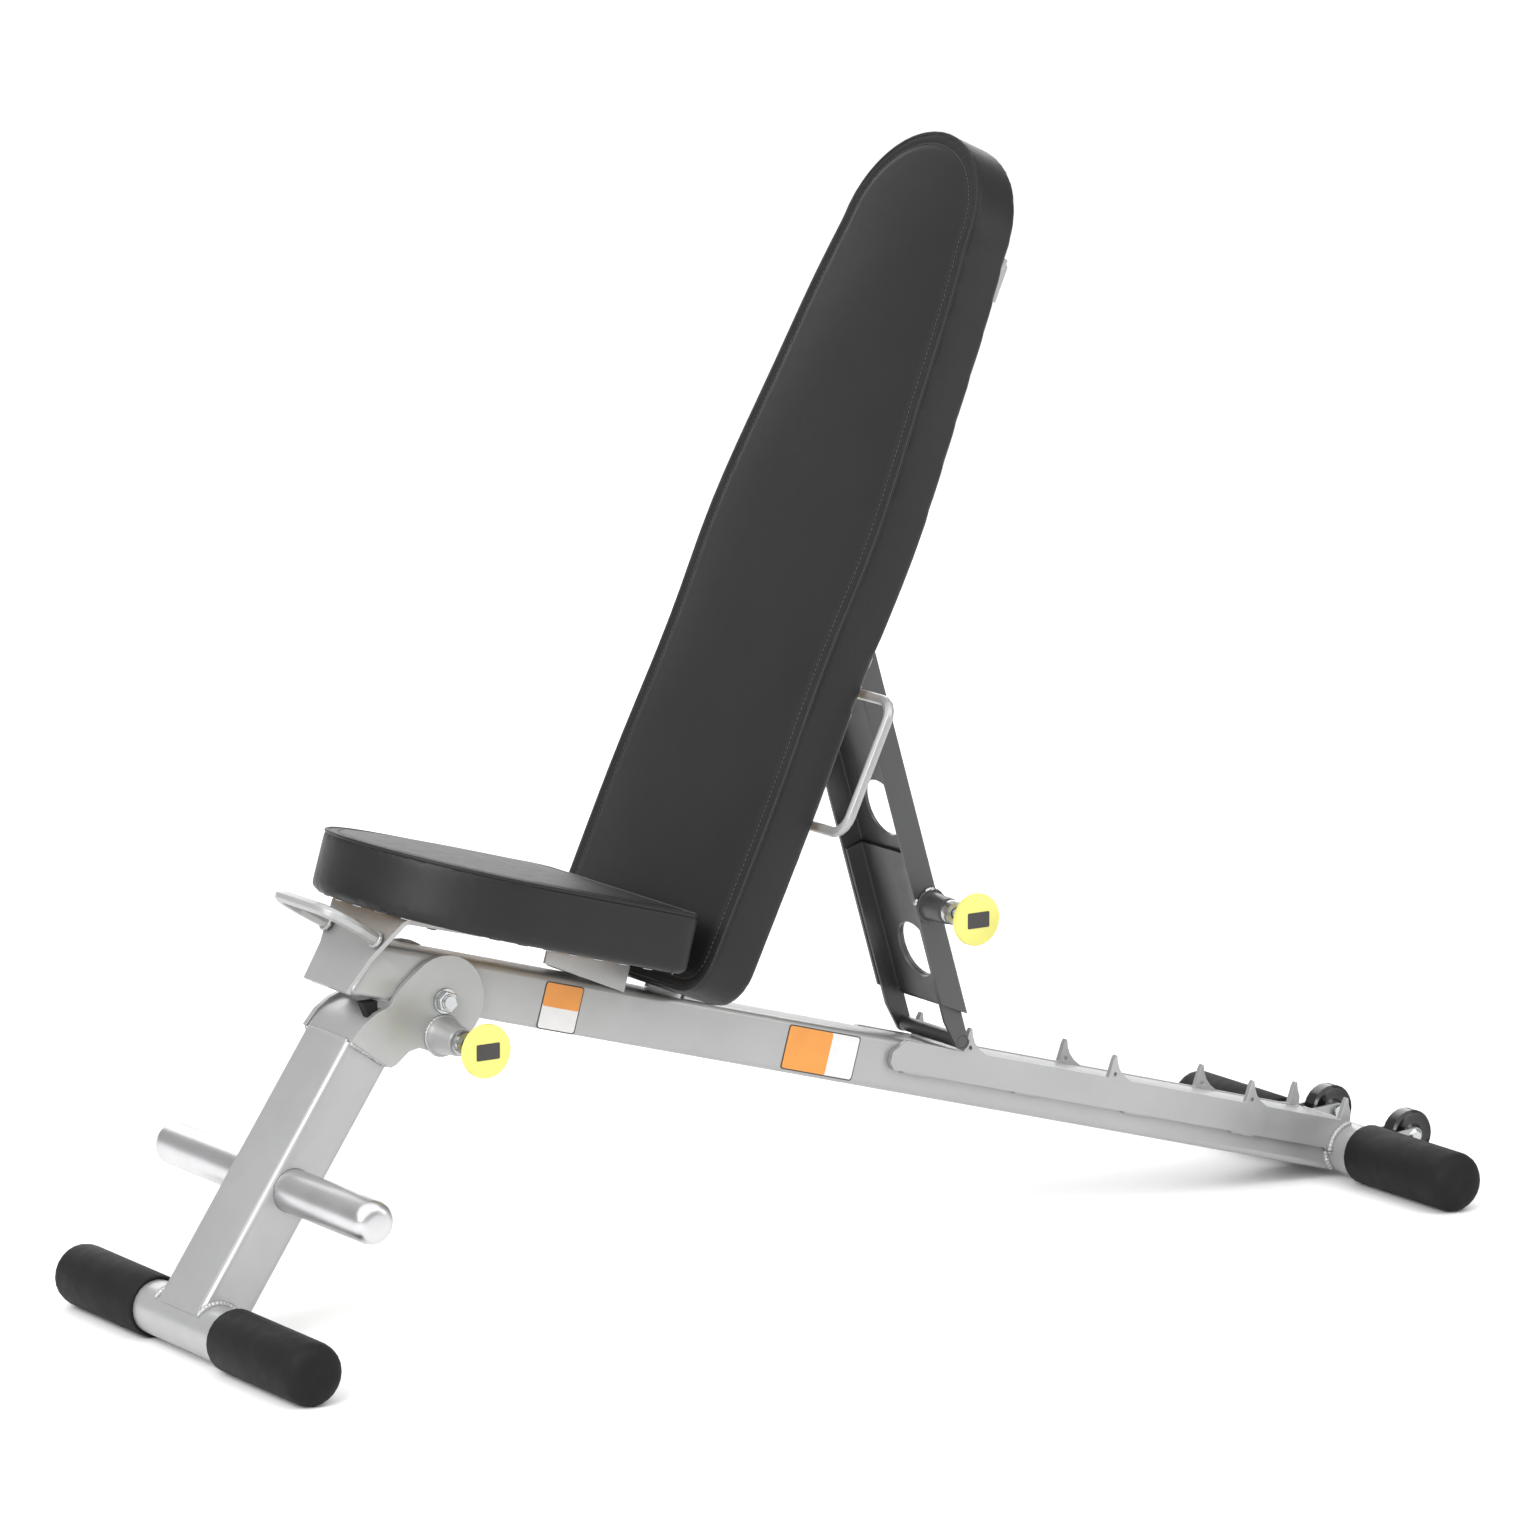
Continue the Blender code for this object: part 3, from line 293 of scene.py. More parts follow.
MATERIALS = {
    "silver_paint": powder_coat("silver_paint_look", (0.350, 0.354, 0.352), 0.45, 0.34, 0.35),
    "charcoal_paint": powder_coat("charcoal_paint_look", (0.052, 0.053, 0.055), 0.15, 0.36, 0.25),
    "chrome": polished_metal("chrome_look", (0.60, 0.60, 0.61), 0.33, 0.02),
    "zinc": polished_metal("zinc_look", (0.48, 0.49, 0.50), 0.26, 0.05),
    "vinyl": vinyl("vinyl_look", (0.0120, 0.0120, 0.0123)),
    "rubber": moulded("rubber_look", (0.0080, 0.0080, 0.0086), 0.66, 1500, 0.30, 0.18),
    "knob_plastic": moulded("knob_look", (0.655, 0.615, 0.165), 0.42, 1200, 0.10, 0.25),
    "wheel_plastic": moulded("wheel_look", (0.009, 0.009, 0.010), 0.14, 800, 0.04),
    "plywood": plywood("plywood_look"),
}
THREAD = moulded("thread_look", (0.060, 0.060, 0.062), 0.60, 3000, 0.5)
LABEL_DARK = moulded("label_dark_look", (0.030, 0.029, 0.026), 0.45, 900, 0.05)
LABEL_WHITE = moulded("label_white_look", (0.66, 0.66, 0.66), 0.42, 900, 0.04)
LABEL_AMBER = moulded("label_amber_look", (0.66, 0.26, 0.045), 0.42, 900, 0.04)


# ---- Pieces --------------------------------------------------------------------------------------
def piece(name, bm, material, body, matrix=None, smooth_angle=35):
    """A finished mesh as one named piece that rides on a body; it returns the new object."""
    mesh = bpy.data.meshes.new(name)
    bmesh.ops.recalc_face_normals(bm, faces=bm.faces)
    bm.to_mesh(mesh)
    bm.free()
    if matrix is not None:
        mesh.transform(matrix)
    mesh.shade_smooth()
    mesh.set_sharp_from_angle(angle=math.radians(smooth_angle))
    mesh.materials.append(material)
    obj = bpy.data.objects.new(name, mesh)
    scene.collection.objects.link(obj)
    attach(obj, body)
    return obj


def sweep(bm, points, radii, sides=8, closed=False):
    """A tube of varying radius along points, capped unless it is closed."""
    rings = []
    count = len(points)
    up = Vector((0.0, 0.0, 1.0))
    for i, point in enumerate(points):
        before = points[i - 1] if closed or i else points[0]
        after = points[(i + 1) % count] if closed or i < count - 1 else points[-1]
        along = (after - before).normalized()
        side = along.cross(up)
        if side.length < 0.05:
            side = along.cross(Vector((1.0, 0.0, 0.0)))
        side.normalize()
        lift = side.cross(along)
        ring = []
        for k in range(sides):
            turn = math.tau * k / sides
            ring.append(bm.verts.new(point + (side * math.cos(turn) + lift * math.sin(turn)) * radii[i]))
        rings.append(ring)
    pairs = list(zip(rings, rings[1:]))
    if closed:
        pairs.append((rings[-1], rings[0]))
    else:
        bm.faces.new(list(reversed(rings[0])))
        bm.faces.new(rings[-1])
    for a, b in pairs:
        for k in range(sides):
            bm.faces.new((a[k], a[(k + 1) % sides], b[(k + 1) % sides], b[k]))


def resample(points, step, closed=False):
    """Points at even steps along a polyline."""
    route = list(points) + ([points[0]] if closed else [])
    lengths = [0.0]
    for a, b in zip(route, route[1:]):
        lengths.append(lengths[-1] + (b - a).length)
    count = max(2, round(lengths[-1] / step))
    result = []
    j = 0
    for i in range(count if closed else count + 1):
        goal = lengths[-1] * i / count
        while j < len(lengths) - 2 and lengths[j + 1] < goal:
            j += 1
        span = max(lengths[j + 1] - lengths[j], 1e-9)
        result.append(route[j].lerp(route[j + 1], (goal - lengths[j]) / span))
    return result


def bead(name, body, matrix, points, radius, finish="silver_paint"):
    """A weld bead: a low rippled ridge along a joint, thinner at both ends."""
    steps = 4
    route = resample([Vector(p) for p in points], BEAD_PITCH / steps)
    radii = []
    for i in range(len(route)):
        ripple = abs(math.sin(math.pi * i / steps))
        radii.append(radius * (0.82 + 0.26 * ripple + 0.06 * math.sin(i * 0.37)))
    for i in range(3):
        radii[i] *= 0.5 + 0.17 * i
        radii[-1 - i] *= 0.5 + 0.17 * i
    bm = bmesh.new()
    sweep(bm, route, radii)
    piece(name, bm, MATERIALS[finish], body, matrix, 60)


def arc(centre, axis_a, axis_b, radius, start=0, end=360):
    """Points of an arc about centre in the plane of two unit axes, its ends in degrees."""
    points = []
    steps = 24
    for i in range(steps + 1):
        a, b = on_circle(radius, start + (end - start) * i / steps)
        points.append(Vector(centre) + Vector(axis_a) * a + Vector(axis_b) * b)
    return points


def revolve(bm, profile):
    """A closed profile of (radius, height) turned about Z."""
    rings = []
    sides = 40
    for k in range(sides):
        a = math.tau * k / sides
        rings.append([bm.verts.new((r * math.cos(a), r * math.sin(a), z)) for r, z in profile])
    count = len(profile)
    for k in range(sides):
        here, after = rings[k], rings[(k + 1) % sides]
        for i in range(count):
            bm.faces.new((here[i], here[(i + 1) % count], after[(i + 1) % count], after[i]))


def body_of(node):
    return nodes[node].parent.name.split(":", 1)[1]


def prism(bm, sides, radius, low, high, chamfer=0.0, turn=0.0):
    """A straight prism about Z with its two rims chamfered."""
    levels = [(radius, low), (radius, high)]
    if chamfer:
        drop = chamfer * 0.6
        levels = [(radius - chamfer, low), (radius, low + drop),
                  (radius, high - drop), (radius - chamfer, high)]
    rings = []
    for r, z in levels:
        ring = []
        for k in range(sides):
            a = math.tau * k / sides + turn
            ring.append(bm.verts.new((r * math.cos(a), r * math.sin(a), z)))
        rings.append(ring)
    for a, b in zip(rings, rings[1:]):
        for k in range(sides):
            bm.faces.new((a[k], a[(k + 1) % sides], b[(k + 1) % sides], b[k]))
    bm.faces.new(list(reversed(rings[0])))
    bm.faces.new(rings[-1])


# ---- Cushions ------------------------------------------------------------------------------------
def face_outline(mesh, normal):
    """The outline of the outermost flat face along normal, as an ordered loop, and the face's height."""
    bm = bmesh.new()
    bm.from_mesh(mesh)
    bmesh.ops.remove_doubles(bm, verts=bm.verts, dist=SEAM_GAP)
    top = max(v.co.dot(normal) for v in bm.verts)
    level = 0.0005
    faces = [f for f in bm.faces
             if f.normal.dot(normal) > 0.99 and abs(f.calc_center_median().dot(normal) - top) < level]
    on_face = set(faces)
    links = {}
    for face in faces:
        for edge in face.edges:
            if sum(f in on_face for f in edge.link_faces) == 1:
                a, b = edge.verts
                links.setdefault(a, []).append(b)
                links.setdefault(b, []).append(a)
    start = next(iter(links))
    loop, previous, here = [start], None, start
    while True:
        onward = [v for v in links[here] if v is not previous]
        previous, here = here, onward[0]
        if here is start:
            break
        loop.append(here)
    points = [v.co.copy() for v in loop]
    bm.free()
    return points, top


def in_plane(points, frame_matrix):
    """The loop in a local frame whose Z is the face's normal, running anticlockwise."""
    inverse = frame_matrix.inverted()
    local = [(inverse @ p).to_2d() for p in points]
    area = sum(a.x * b.y - b.x * a.y for a, b in zip(local, local[1:] + local[:1]))
    if area < 0:
        local.reverse()
    return local


def inset_loop(loop, amount):
    """Each point of an anticlockwise loop moved inwards."""
    count = len(loop)
    result = []
    for i, point in enumerate(loop):
        along = (loop[(i + 1) % count] - loop[i - 1]).normalized()
        result.append(point + Vector((-along.y, along.x)) * amount)
    return result


def rows_mesh(loop, rows):
    """A closed solid through the loop inset and lifted by each (inset, height) row, bottom row first."""
    bm = bmesh.new()
    rings = []
    for inset, height in rows:
        rings.append([bm.verts.new((p.x, p.y, height)) for p in inset_loop(loop, inset)])
    count = len(loop)
    for a, b in zip(rings, rings[1:]):
        for k in range(count):
            bm.faces.new((a[k], a[(k + 1) % count], b[(k + 1) % count], b[k]))
    bm.faces.new(list(reversed(rings[0])))
    bm.faces.new(rings[-1])
    bmesh.ops.triangulate(bm, faces=[f for f in bm.faces if len(f.verts) > 4])
    return bm


def swell(obj, rim_tree):
    """Blow the cushion up a little by a cloth simulation, held at its back and along its rim seam."""
    mesh = obj.data
    group = obj.vertex_groups.new(name="held")
    before = [v.co.copy() for v in mesh.vertices]
    for v in mesh.vertices:
        _, _, _, rim = rim_tree.find_nearest(v.co)
        hold = 0.0
        if v.co.z < HELD_HEIGHT:
            hold = 1.0
        elif rim < RIM_FREE:
            hold = 1.0 - max(0.0, rim - RIM_HELD) / (RIM_FREE - RIM_HELD)
        if hold > 0:
            group.add([v.index], hold, "REPLACE")
    cloth = obj.modifiers.new("cloth", "CLOTH")
    cloth.settings.use_pressure = True
    cloth.settings.uniform_pressure_force = PRESSURE
    cloth.settings.vertex_group_mass = group.name
    cloth.settings.effector_weights.gravity = 0.0
    cloth.settings.tension_stiffness = STIFFNESS
    cloth.settings.compression_stiffness = STIFFNESS
    cloth.settings.quality = 5
    cloth.collision_settings.use_collision = False
    cloth.point_cache.frame_start = 1
    cloth.point_cache.frame_end = SIM_FRAMES
    for number in range(1, SIM_FRAMES + 1):
        scene.frame_set(number)
    evaluated = obj.evaluated_get(bpy.context.evaluated_depsgraph_get())
    after = [v.co.copy() for v in evaluated.data.vertices]
    obj.modifiers.remove(cloth)
    scene.frame_set(1)
    for v, a, b in zip(mesh.vertices, before, after):
        move = b - a
        if move.length > CROWN_CAP:
            move *= CROWN_CAP / move.length
        v.co = a + move


def evaluated_mesh(obj):
    """The object's mesh after its modifiers, which are then removed."""
    bpy.context.view_layer.update()
    mesh = bpy.data.meshes.new_from_object(obj.evaluated_get(bpy.context.evaluated_depsgraph_get()))
    obj.modifiers.clear()
    obj.data = mesh
    return mesh


def cushion_body(name, loop, thickness, rim_tree):
    """The swollen body of a cushion, standing on Z = 0, with a groove where it is stitched."""
    rows = ((0.0130, 0.0150), (0.0125, 0.0012), (0.0115, 0.0), (0.0060, 0.0), (0.0015, 0.0018),
            (0.0004, 0.0060), (0.0008, thickness * 0.5), (0.0010, thickness - 0.0035),
            (0.0020, thickness - 0.0012), (0.0060, thickness))
    mesh = bpy.data.meshes.new(name)
    bm = rows_mesh(loop, rows)
    bmesh.ops.recalc_face_normals(bm, faces=bm.faces)
    bm.to_mesh(mesh)
    bm.free()
    obj = bpy.data.objects.new(name, mesh)
    scene.collection.objects.link(obj)
    remesh = obj.modifiers.new("remesh", "REMESH")
    remesh.mode = "VOXEL"
    remesh.voxel_size = VOXEL
    even = evaluated_mesh(obj)
    even.name = name
    swell(obj, rim_tree)
    smooth = obj.modifiers.new("fine", "SUBSURF")
    smooth.levels = smooth.render_levels = 1
    fine = evaluated_mesh(obj)
    for v in fine.vertices:
        _, _, _, rim = rim_tree.find_nearest(v.co)
        if v.co.z > thickness - 0.004:
            across = (rim - STITCH_INSET + EDGE_INSET) / GROOVE_WIDTH
            v.co.z -= GROOVE_DEPTH * math.exp(-across ** 2)
    fine.shade_smooth()
    fine.materials.clear()
    fine.materials.append(MATERIALS["vinyl"])
    return obj


def inset_route(loop, inset, height, step):
    """Points at even steps along the loop moved inwards, at one height."""
    return resample([Vector((p.x, p.y, height)) for p in inset_loop(loop, inset)], step, closed=True)


def cushion(node, body, frame_matrix, thickness, name):
    """A sewn cushion in place of a CAD one: body, rim seam, topstitching, and staples under its board."""
    normal = frame_matrix.to_3x3() @ Vector((0, 0, 1))
    outline, top = face_outline(nodes[node].data, normal)
    place = frame_matrix.copy()
    drop = top - frame_matrix.translation.dot(normal) - thickness
    place.translation = frame_matrix.translation + normal * drop
    corners = [p.to_3d() for p in in_plane(outline, place)]
    loop = [p.to_2d() for p in resample(corners, LOOP_STEP, closed=True)]

    edge = inset_route(loop, EDGE_INSET, thickness - EDGE_DROP, 0.004)
    bm = bmesh.new()
    sweep(bm, edge, [0.0003] * len(edge), 3, closed=True)
    rim_tree = BVHTree.FromBMesh(bm)
    bm.free()
    obj = cushion_body(name, loop, thickness, rim_tree)
    fine = obj.data
    surface = BVHTree.FromPolygons([v.co for v in fine.vertices], [p.vertices for p in fine.polygons])
    fine.transform(place)
    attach(obj, body)
    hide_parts(node)

    def on_face(point):
        hit, _, _, _ = surface.ray_cast(Vector((point.x, point.y, thickness + 0.05)), Vector((0, 0, -1)))
        return hit if hit else Vector((point.x, point.y, thickness))

    bm = bmesh.new()
    route = inset_route(loop, RIM_INSET, thickness - RIM_DROP, 0.003)
    sweep(bm, route, [RIM_R] * len(route), closed=True)
    piece(name + "_rim_seam", bm, MATERIALS["vinyl"], body, place, 80)

    bm = bmesh.new()
    route = inset_route(loop, STITCH_INSET, 0.0, STITCH_PITCH)
    for a, b in zip(route, route[1:] + route[:1]):
        along = (b - a).normalized() * STITCH_LEN / 2
        middle = (a + b) / 2
        ends = [on_face(middle - along), on_face(middle), on_face(middle + along)]
        ends[1].z += STITCH_LIFT
        sweep(bm, ends, [STITCH_END_R, STITCH_R, STITCH_END_R], 5)
    piece(name + "_topstitch", bm, THREAD, body, place, 80)

    bm = bmesh.new()
    route = inset_route(loop, STAPLE_INSET, -0.0001, STAPLE_PITCH)
    for a, b in zip(route, route[1:] + route[:1]):
        half = (b - a).normalized() * STAPLE_HALF
        sweep(bm, [a - half, a + half], [STAPLE_R, STAPLE_R], 6)
    piece(name + "_staples", bm, MATERIALS["zinc"], body, place, 40)


cushion("back_pad", "back", BACK @ FACING_FRONT, BACK_THICK, "back_cushion")
cushion("seat_pad", "frame", BEAM, SEAT_THICK, "seat_cushion")


# ---- Welds ---------------------------------------------------------------------------------------
def welds():
    """Beads along the joints of the frame, the leg and the back's handle."""
    feet = side_frame(REAR_FOOT)
    for side, sign in SIDES:
        y = sign * (TUBE_HALF_W + BEAD_LIFT)
        bead(f"weld_beam_front_{side}", "frame", BEAM,
             [(0.1475 + v * math.tan(BEAM_SKEW), y, v) for v in (0.004, 0.016, 0.030, 0.045)], 0.0022)
        bead(f"weld_ear_{side}", "leg", LEG,
             [(x, sign * 0.0398, LEG_TUBE_TOP + 0.0004) for x in (-0.0235, 0.0, 0.0235)], 0.0030)
        bead(f"weld_front_foot_{side}", "leg", LEG,
             arc((0, y, 0), X_AXIS, Z_AXIS, FOOT_R + 0.0008, 8, 172), 0.0032)
        bead(f"weld_rear_foot_{side}", "frame", feet,
             arc((0, y, 0), X_AXIS, Z_AXIS, FOOT_R + 0.0010, 94, 226), 0.0036)
        bead(f"weld_ladder_end_{side}", "frame", feet,
             arc((0, sign * LADDER_END_Y, 0), X_AXIS, Z_AXIS, FOOT_R + 0.0010, 92, 184), 0.0030)
        for k, u in enumerate(LADDER_BEAD_U):
            bead(f"weld_ladder_{side}_{k}", "frame", BEAM,
                 [(end, sign * LADDER_BEAD_Y, LADDER_BEAD_V) for end in (u, u + LADDER_BEAD_LEN)], 0.0019)
    bead("weld_saddle", "leg", LEG,
         [(-0.0236, y, LEG_TUBE_TOP + 0.0010) for y in (-0.0350, 0.0, 0.0350)], 0.0022)
    bead("weld_rear_foot_top", "frame", feet,
         [(-0.0016, y, FOOT_R + 0.0008) for y in (-0.0330, 0.0, 0.0330)], 0.0022)
    for k, s in enumerate(BACK_HANDLE_S):
        bead(f"weld_back_handle_{k}", "back", BACK,
             arc((BACK_HANDLE_X, -TUBE_HALF_W - 0.0010, s), X_AXIS, Z_AXIS, 0.0056), 0.0017)
    out = Vector((-math.cos(HANDLE_RISE), 0, math.sin(HANDLE_RISE)))
    for side, sign in SIDES:
        foot = Vector((FRONT_FOOT.x + HANDLE_FOOT_X, sign * HANDLE_FOOT_Y, HANDLE_FOOT_Z)) + out * 0.0030
        bead(f"weld_seat_handle_{side}", "frame", None,
             arc(foot, Y_AXIS, out.cross(Y_AXIS), 0.0066), 0.0020)


welds()


# ---- Fasteners -----------------------------------------------------------------------------------
def through_bolt(node, body, half_grip):
    """Hex bolt and lock nut on washers in place of a plain CAD bolt: head on the left, nut on the right."""
    bm = bmesh.new()
    grip = half_grip + 0.0004
    face = grip + WASHER_THICK
    prism(bm, 24, BOLT_R, -grip - 0.0100, grip + 0.0010)
    prism(bm, 32, WASHER_R, grip, face, 0.0003)
    prism(bm, 32, WASHER_R, -face, -grip, 0.0003)
    prism(bm, 6, HEX_R, face, face + HEAD_HEIGHT, 0.0009, math.radians(12))
    prism(bm, 6, HEX_R, -face - NUT_HEIGHT, -face, 0.0009, math.radians(20))
    prism(bm, 24, NUT_RING_R, -grip - 0.0086, -grip - 0.0070, 0.0004)
    for k in range(3):      # the bolt's last threads
        low = -grip - 0.0098 + k * 0.0005
        prism(bm, 24, BOLT_R + 0.0003, low, low + 0.00025, 0.0001)
    place = Matrix.Translation(box_middle(node, 0)) @ Matrix.Rotation(-math.pi / 2, 4, "X")
    obj = piece(node + "_hex", bm, MATERIALS["zinc"], body, place, 25)
    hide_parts(node)


through_bolt("leg_pivot_bolt", "frame", PLATE_OUTER_Y)
through_bolt("back_hinge_bolt", "frame", TUBE_HALF_W)
through_bolt("strut_pivot_bolt", "back", STRUT_HALF_W)


def sleeve_frame(node):
    """A frame on a pull pin's sleeve: origin where it meets its tube, local Z out along it."""
    return Matrix.Translation(box_middle(node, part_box(node)[1].y)) @ FACING_RIGHT


def pin_housing(prefix, finish, outer):
    """Flared housing of a pull pin, painted with the part it is welded to, and its bright end collar."""
    node = prefix + "_pin_housing"
    place = sleeve_frame(node)
    body = body_of(node)
    bm = bmesh.new()
    revolve(bm, outer + [(0.0103, 0.0324), (0.0102, 0.0030), (0.0056, 0.0030), (0.0056, 0.0)])
    obj = piece(node + "_cone", bm, MATERIALS[finish], body, place, 50)
    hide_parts(node)
    bm = bmesh.new()
    revolve(bm, [(0.0114, 0.0325), (0.0117, 0.0332), (0.0117, 0.0392), (0.0106, 0.0418), (0.0060, 0.0420),
                 (0.0056, 0.0416), (0.0056, 0.0380), (0.0091, 0.0380), (0.0091, 0.0325)])
    piece(node + "_collar", bm, MATERIALS["zinc"], body, place, 30)
    bead(f"weld_{prefix}_pin", body, place, arc((0, 0, 0.0008), X_AXIS, Y_AXIS, outer[0][0] + 0.0003),
         0.0017, finish)


def bare_welds():
    """Two unpainted weld spots beside the strut's pin sleeve."""
    node = "strut_pin_housing"
    for k, (start, end, reach) in enumerate(((78, 116, 0.0162), (152, 172, 0.0186))):
        bead(f"weld_bare_{k}", body_of(node), sleeve_frame(node),
             arc((0, 0, 0.0010), X_AXIS, Y_AXIS, reach, start, end), 0.0024, "zinc")


pin_housing("leg", "silver_paint", [(0.0180, 0.0), (0.0183, 0.0026), (0.0172, 0.0044), (0.0159, 0.0085),
                                    (0.0137, 0.0290), (0.0133, 0.0318), (0.0129, 0.0324)])
pin_housing("strut", "charcoal_paint", [(0.0150, 0.0), (0.0150, 0.0020), (0.0136, 0.0040), (0.0132, 0.0100),
                                        (0.0126, 0.0290), (0.0124, 0.0318), (0.0120, 0.0324)])
bare_welds()


# ---- Small plates --------------------------------------------------------------------------------
def extruded(name, outline, y_low, y_high, finish, body, matrix):
    """A flat plate from a side-view outline of (x, z) points."""
    bm = bmesh.new()
    near, far = [[bm.verts.new((x, y, z)) for x, z in outline] for y in (y_low, y_high)]
    count = len(outline)
    for k in range(count):
        bm.faces.new((near[k], near[(k + 1) % count], far[(k + 1) % count], far[k]))
    bm.faces.new(list(reversed(near)))
    bm.faces.new(far)
    piece(name, bm, MATERIALS[finish], body, matrix, 30)


def wheel_tabs():
    """Outer ear of each wheel's bracket, under the head of its axle."""
    for side, sign in SIDES:
        axle = box_middle(f"wheel_{side}")
        reach = axle - REAR_FOOT
        length = math.hypot(reach.x, reach.z)
        base = side_frame(REAR_FOOT, -math.atan2(reach.z, reach.x))
        eye = []
        for degrees in range(-70, 71, 14):
            x, z = on_circle(0.0085, degrees)
            eye.append((length + x, z))
        root = [on_circle(FOOT_R + 0.0001, degrees) for degrees in range(30, -31, -10)]
        first, second = sorted((axle.y + sign * 0.0113, axle.y + sign * 0.0136))
        extruded(f"wheel_tab_{side}", eye + root, first, second, "silver_paint", "frame", base)


def small_parts():
    """Dark rubber wedge above the leg's saddle, painted shade standing in for the shadow in the opening
    there, and the plate over the top end of the backrest's spine.
    """
    # Painted shade: a dark rubber wedge set in the opening between the saddle and the beam, where there is
    # only shadow.
    shade_wedge_outline = [(0.1560, 0.3140), (0.1715, 0.3140), (0.1710, 0.3020), (0.1685, 0.2950), (0.1640, 0.2965)]
    extruded("leg_stop", [(x + FRONT_FOOT.x, z) for x, z in shade_wedge_outline], -0.0384, -0.0270, "rubber", "leg", None)
    spine_end = [(0.0660, 0.7100), (0.1010, 0.7130), (0.1000, 0.7480), (0.0920, 0.7560), (0.0660, 0.7560)]
    extruded("spine_end_plate", spine_end, -0.0384, -0.0350, "silver_paint", "back", BACK)


wheel_tabs()
small_parts()


# ---- Labels --------------------------------------------------------------------------------------
def rounded_plate(width, height, corner, thickness):
    """A thin rounded rectangle in local XY, its back on Z = 0."""
    steps = 5
    loop = []
    for cx, cy, start in ((1, 1, 0), (-1, 1, 90), (-1, -1, 180), (1, -1, 270)):
        for k in range(steps + 1):
            x, y = on_circle(corner, start + 90 * k / steps)
            loop.append((cx * (width / 2 - corner) + x, cy * (height / 2 - corner) + y))
    bm = bmesh.new()
    low, high = [[bm.verts.new((x, y, z)) for x, y in loop] for z in (0, thickness)]
    count = len(loop)
    for k in range(count):
        bm.faces.new((low[k], low[(k + 1) % count], high[(k + 1) % count], high[k]))
    bm.faces.new(list(reversed(low)))
    bm.faces.new(high)
    return bm


def knob_labels():
    """A plain dark plate in the middle of each pull knob's face."""
    for prefix in ("leg", "strut"):
        knob = prefix + "_pin_knob"
        place = Matrix.Translation(box_middle(knob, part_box(knob)[0].y + 0.0001)) @ FACING_RIGHT
        piece(prefix + "_knob_label", rounded_plate(0.0245, 0.0150, 0.0012, 0.0005), LABEL_DARK,
              prefix + "_pin", place)


def beam_labels():
    """Two plain two-tone stickers on the beam's right side, with nothing printed on them."""
    border = 0.0012
    y = -TUBE_HALF_W + 0.00005
    for name, u, v, width, height, share, turn in (("front", 0.3745, 0.0230, 0.0430, 0.0450, 0.49, 0.0),
                                                   ("middle", 0.6740, 0.0250, 0.0430, 0.0840, 0.60, 90.0)):
        base = BEAM @ Matrix.Translation((u, y, v)) @ FACING_RIGHT
        base = base @ Matrix.Rotation(math.radians(turn), 4, "Z")
        inner = width - 2 * border
        band = height * share
        upper = base @ Matrix.Translation((0, (height - band) / 2 - border, 0))
        piece(f"label_{name}_border", rounded_plate(width, height, 0.0032, 0.0003),
              LABEL_DARK, "frame", base)
        piece(f"label_{name}_white", rounded_plate(inner, height - 2 * border, 0.0026, 0.00045),
              LABEL_WHITE, "frame", base)
        piece(f"label_{name}_amber", rounded_plate(inner, band, 0.0022, 0.0006),
              LABEL_AMBER, "frame", upper)


knob_labels()
beam_labels()


# ---- CAD nodes: finishes and softened edges ------------------------------------------------------
def dress_nodes():
    """Each visible CAD node gets its finish, smooth shading and softened edges that catch light."""
    slots = {part["node"]: part["material_slot"] for part in frame["record"]["subparts"]}
    for name, obj in nodes.items():
        if obj.hide_render:
            continue
        obj.data.materials.clear()
        obj.data.materials.append(MATERIALS[slots[name]])
        custom = obj.data.attributes.get("custom_normal")
        if custom:
            obj.data.attributes.remove(custom)
        obj.data.shade_smooth()
        weld = obj.modifiers.new("weld", "WELD")
        weld.merge_threshold = SEAM_GAP
        bevel = obj.modifiers.new("soft_edges", "BEVEL")
        bevel.width = EDGE_SOFTENING
        bevel.segments = 2
        bevel.limit_method = "ANGLE"
        bevel.angle_limit = math.radians(32)
        bevel.harden_normals = True
        bevel.use_clamp_overlap = True


dress_nodes()


# ---- Floor, light and camera ---------------------------------------------------------------------
STUDIO_TARGET = (0.0, 0.0, 0.4)
SOFT_LIGHTS = (     # name, place, size, power
    ("left", (-3.4, -1.6, 2.4), (2.0, 2.4), 118),
    ("behind", (1.7, 3.6, 2.1), (4.5, 2.4), 80),
    ("right", (3.4, -3.2, 1.6), (2.0, 2.0), 30),
    ("upper_right", (1.6, -3.0, 3.4), (2.2, 2.2), 34),
)
WORLD_STRENGTH = 0.50
SUN_STRENGTH = 2.3
SUN_SPREAD = math.radians(100)      # a sun this wide stands for a large soft ceiling light
SUN_TURN = (math.radians(14), math.radians(-16), 0)
FLOOR_R = 45


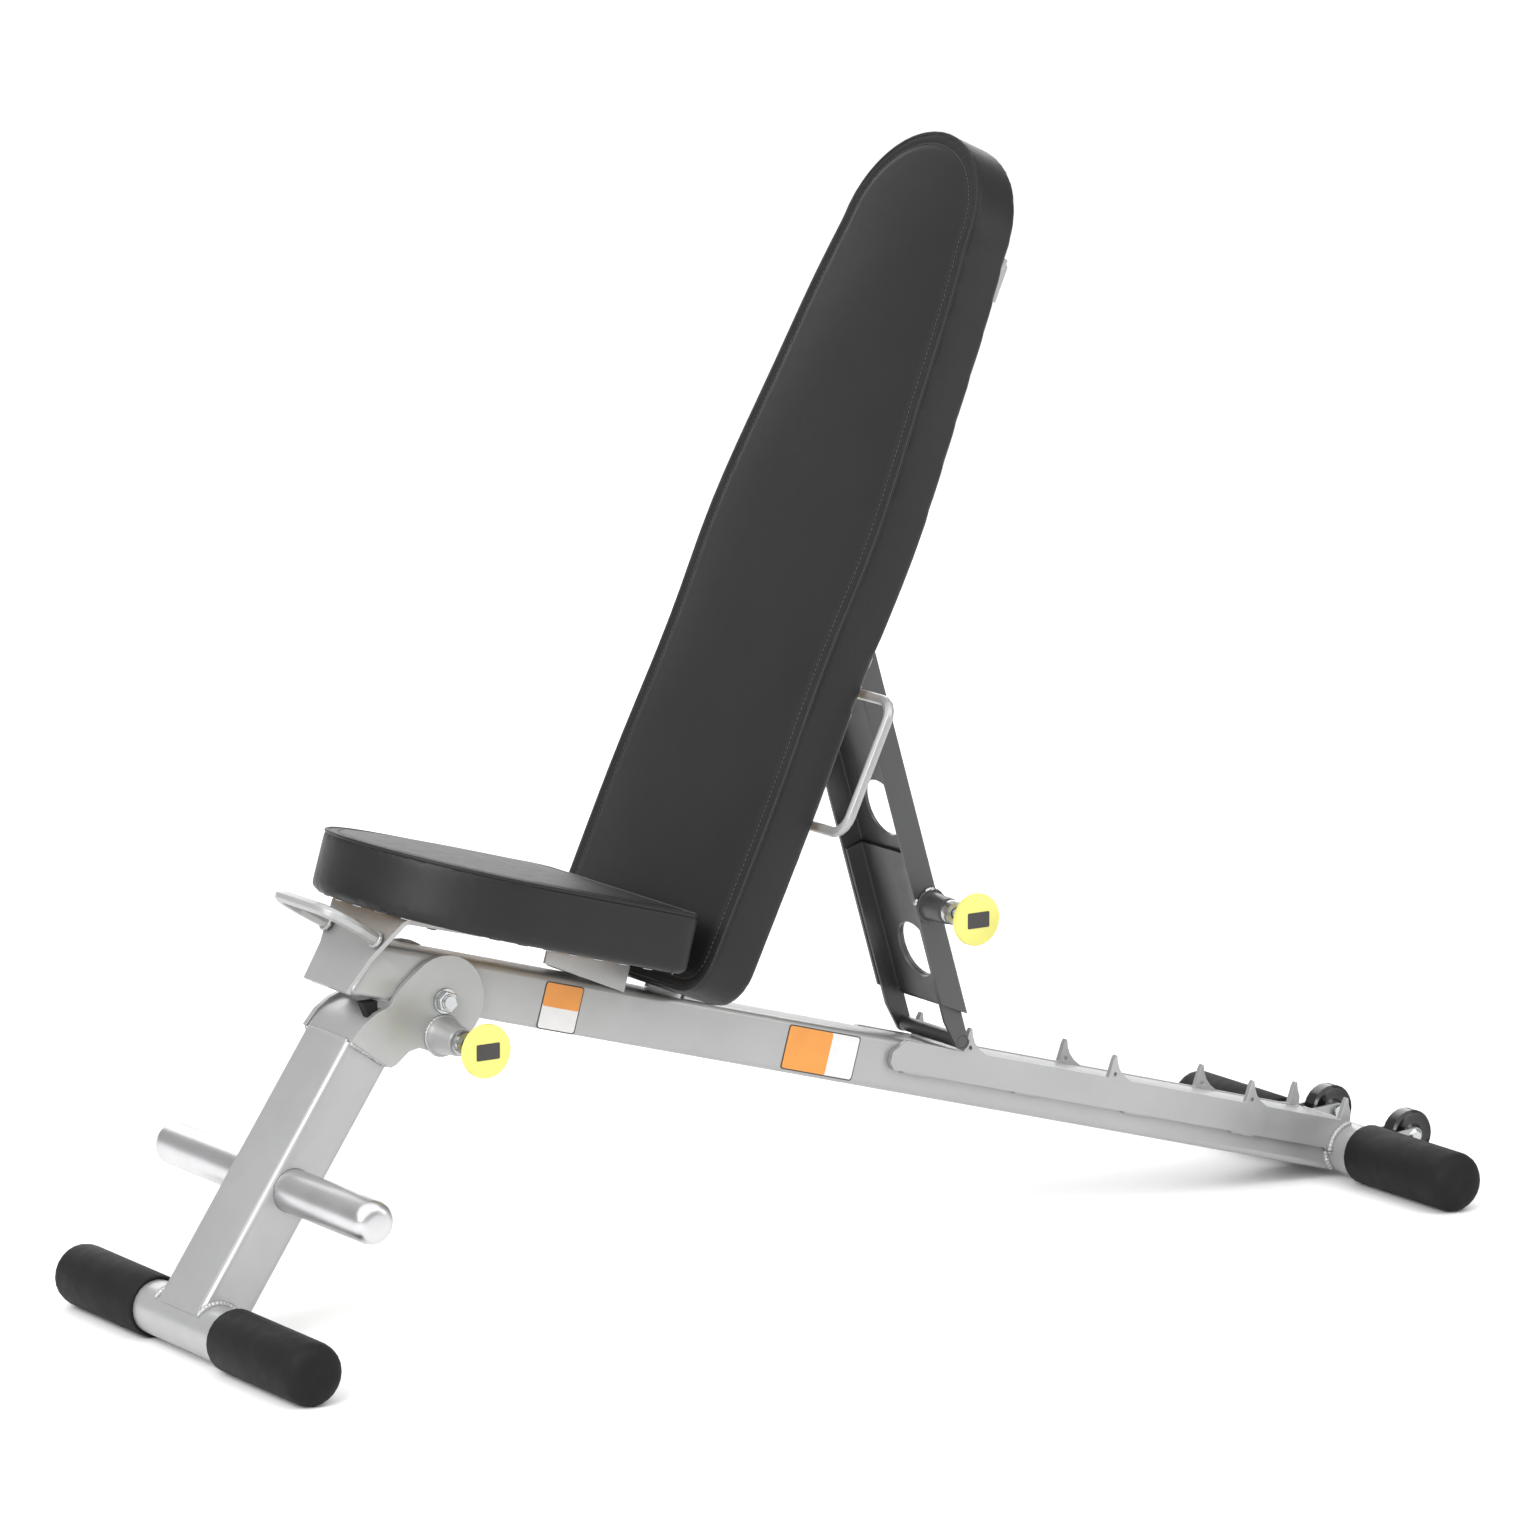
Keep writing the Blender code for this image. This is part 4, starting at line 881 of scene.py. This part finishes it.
def floor():
    """A round pale floor, wide enough to reach past the view."""
    bm = bmesh.new()
    bmesh.ops.create_circle(bm, cap_ends=True, segments=64, radius=FLOOR_R)
    mesh = bpy.data.meshes.new("floor")
    bm.to_mesh(mesh)
    bm.free()
    n = Nodes("floor_look")
    n.tint(n.spread(n.noise(2, 2), 0, 1), (0.90, 0.90, 0.90), (0.91, 0.91, 0.91))
    n.constants(Roughness=0.9)
    mesh.materials.append(n.material)
    obj = bpy.data.objects.new("floor", mesh)
    scene.collection.objects.link(obj)


def soft_light(name, place, size, power):
    """A rectangular light turned to the bench, not seen by the camera itself."""
    light = bpy.data.lights.new(name, "AREA")
    light.shape = "RECTANGLE"
    light.size, light.size_y = size
    light.energy = power
    obj = bpy.data.objects.new(name, light)
    obj.location = place
    obj.rotation_euler = (Vector(STUDIO_TARGET) - Vector(place)).to_track_quat("-Z", "Y").to_euler()
    obj.visible_camera = False
    scene.collection.objects.link(obj)


def studio():
    world = bpy.data.worlds.new("studio")
    scene.world = world
    world.use_nodes = True
    background = world.node_tree.nodes["Background"]
    background.inputs["Color"].default_value = (1.0, 1.0, 1.0, 1)
    background.inputs["Strength"].default_value = WORLD_STRENGTH
    for light in SOFT_LIGHTS:
        soft_light(*light)
    sun = bpy.data.lights.new("overhead", "SUN")
    sun.energy = SUN_STRENGTH
    sun.angle = SUN_SPREAD
    high = bpy.data.objects.new("overhead", sun)
    high.rotation_euler = SUN_TURN
    scene.collection.objects.link(high)


def camera():
    azimuth, elevation = math.radians(CAMERA_AZIMUTH), math.radians(CAMERA_ELEVATION)
    forward = Vector((math.sin(azimuth) * math.cos(elevation), math.cos(azimuth) * math.cos(elevation),
                      -math.sin(elevation)))
    data = bpy.data.cameras.new("camera")
    data.lens = CAMERA_LENS
    data.sensor_width = 36
    data.clip_end = 200
    obj = bpy.data.objects.new("camera", data)
    obj.location = CAMERA_TARGET - forward * CAMERA_DISTANCE
    turn = forward.to_track_quat("-Z", "Y").to_matrix()
    obj.rotation_euler = (turn @ Matrix.Rotation(math.radians(CAMERA_ROLL), 3, "Z")).to_euler()
    scene.collection.objects.link(obj)
    scene.camera = obj


floor()
studio()
camera()
scene.view_settings.view_transform = "Standard"
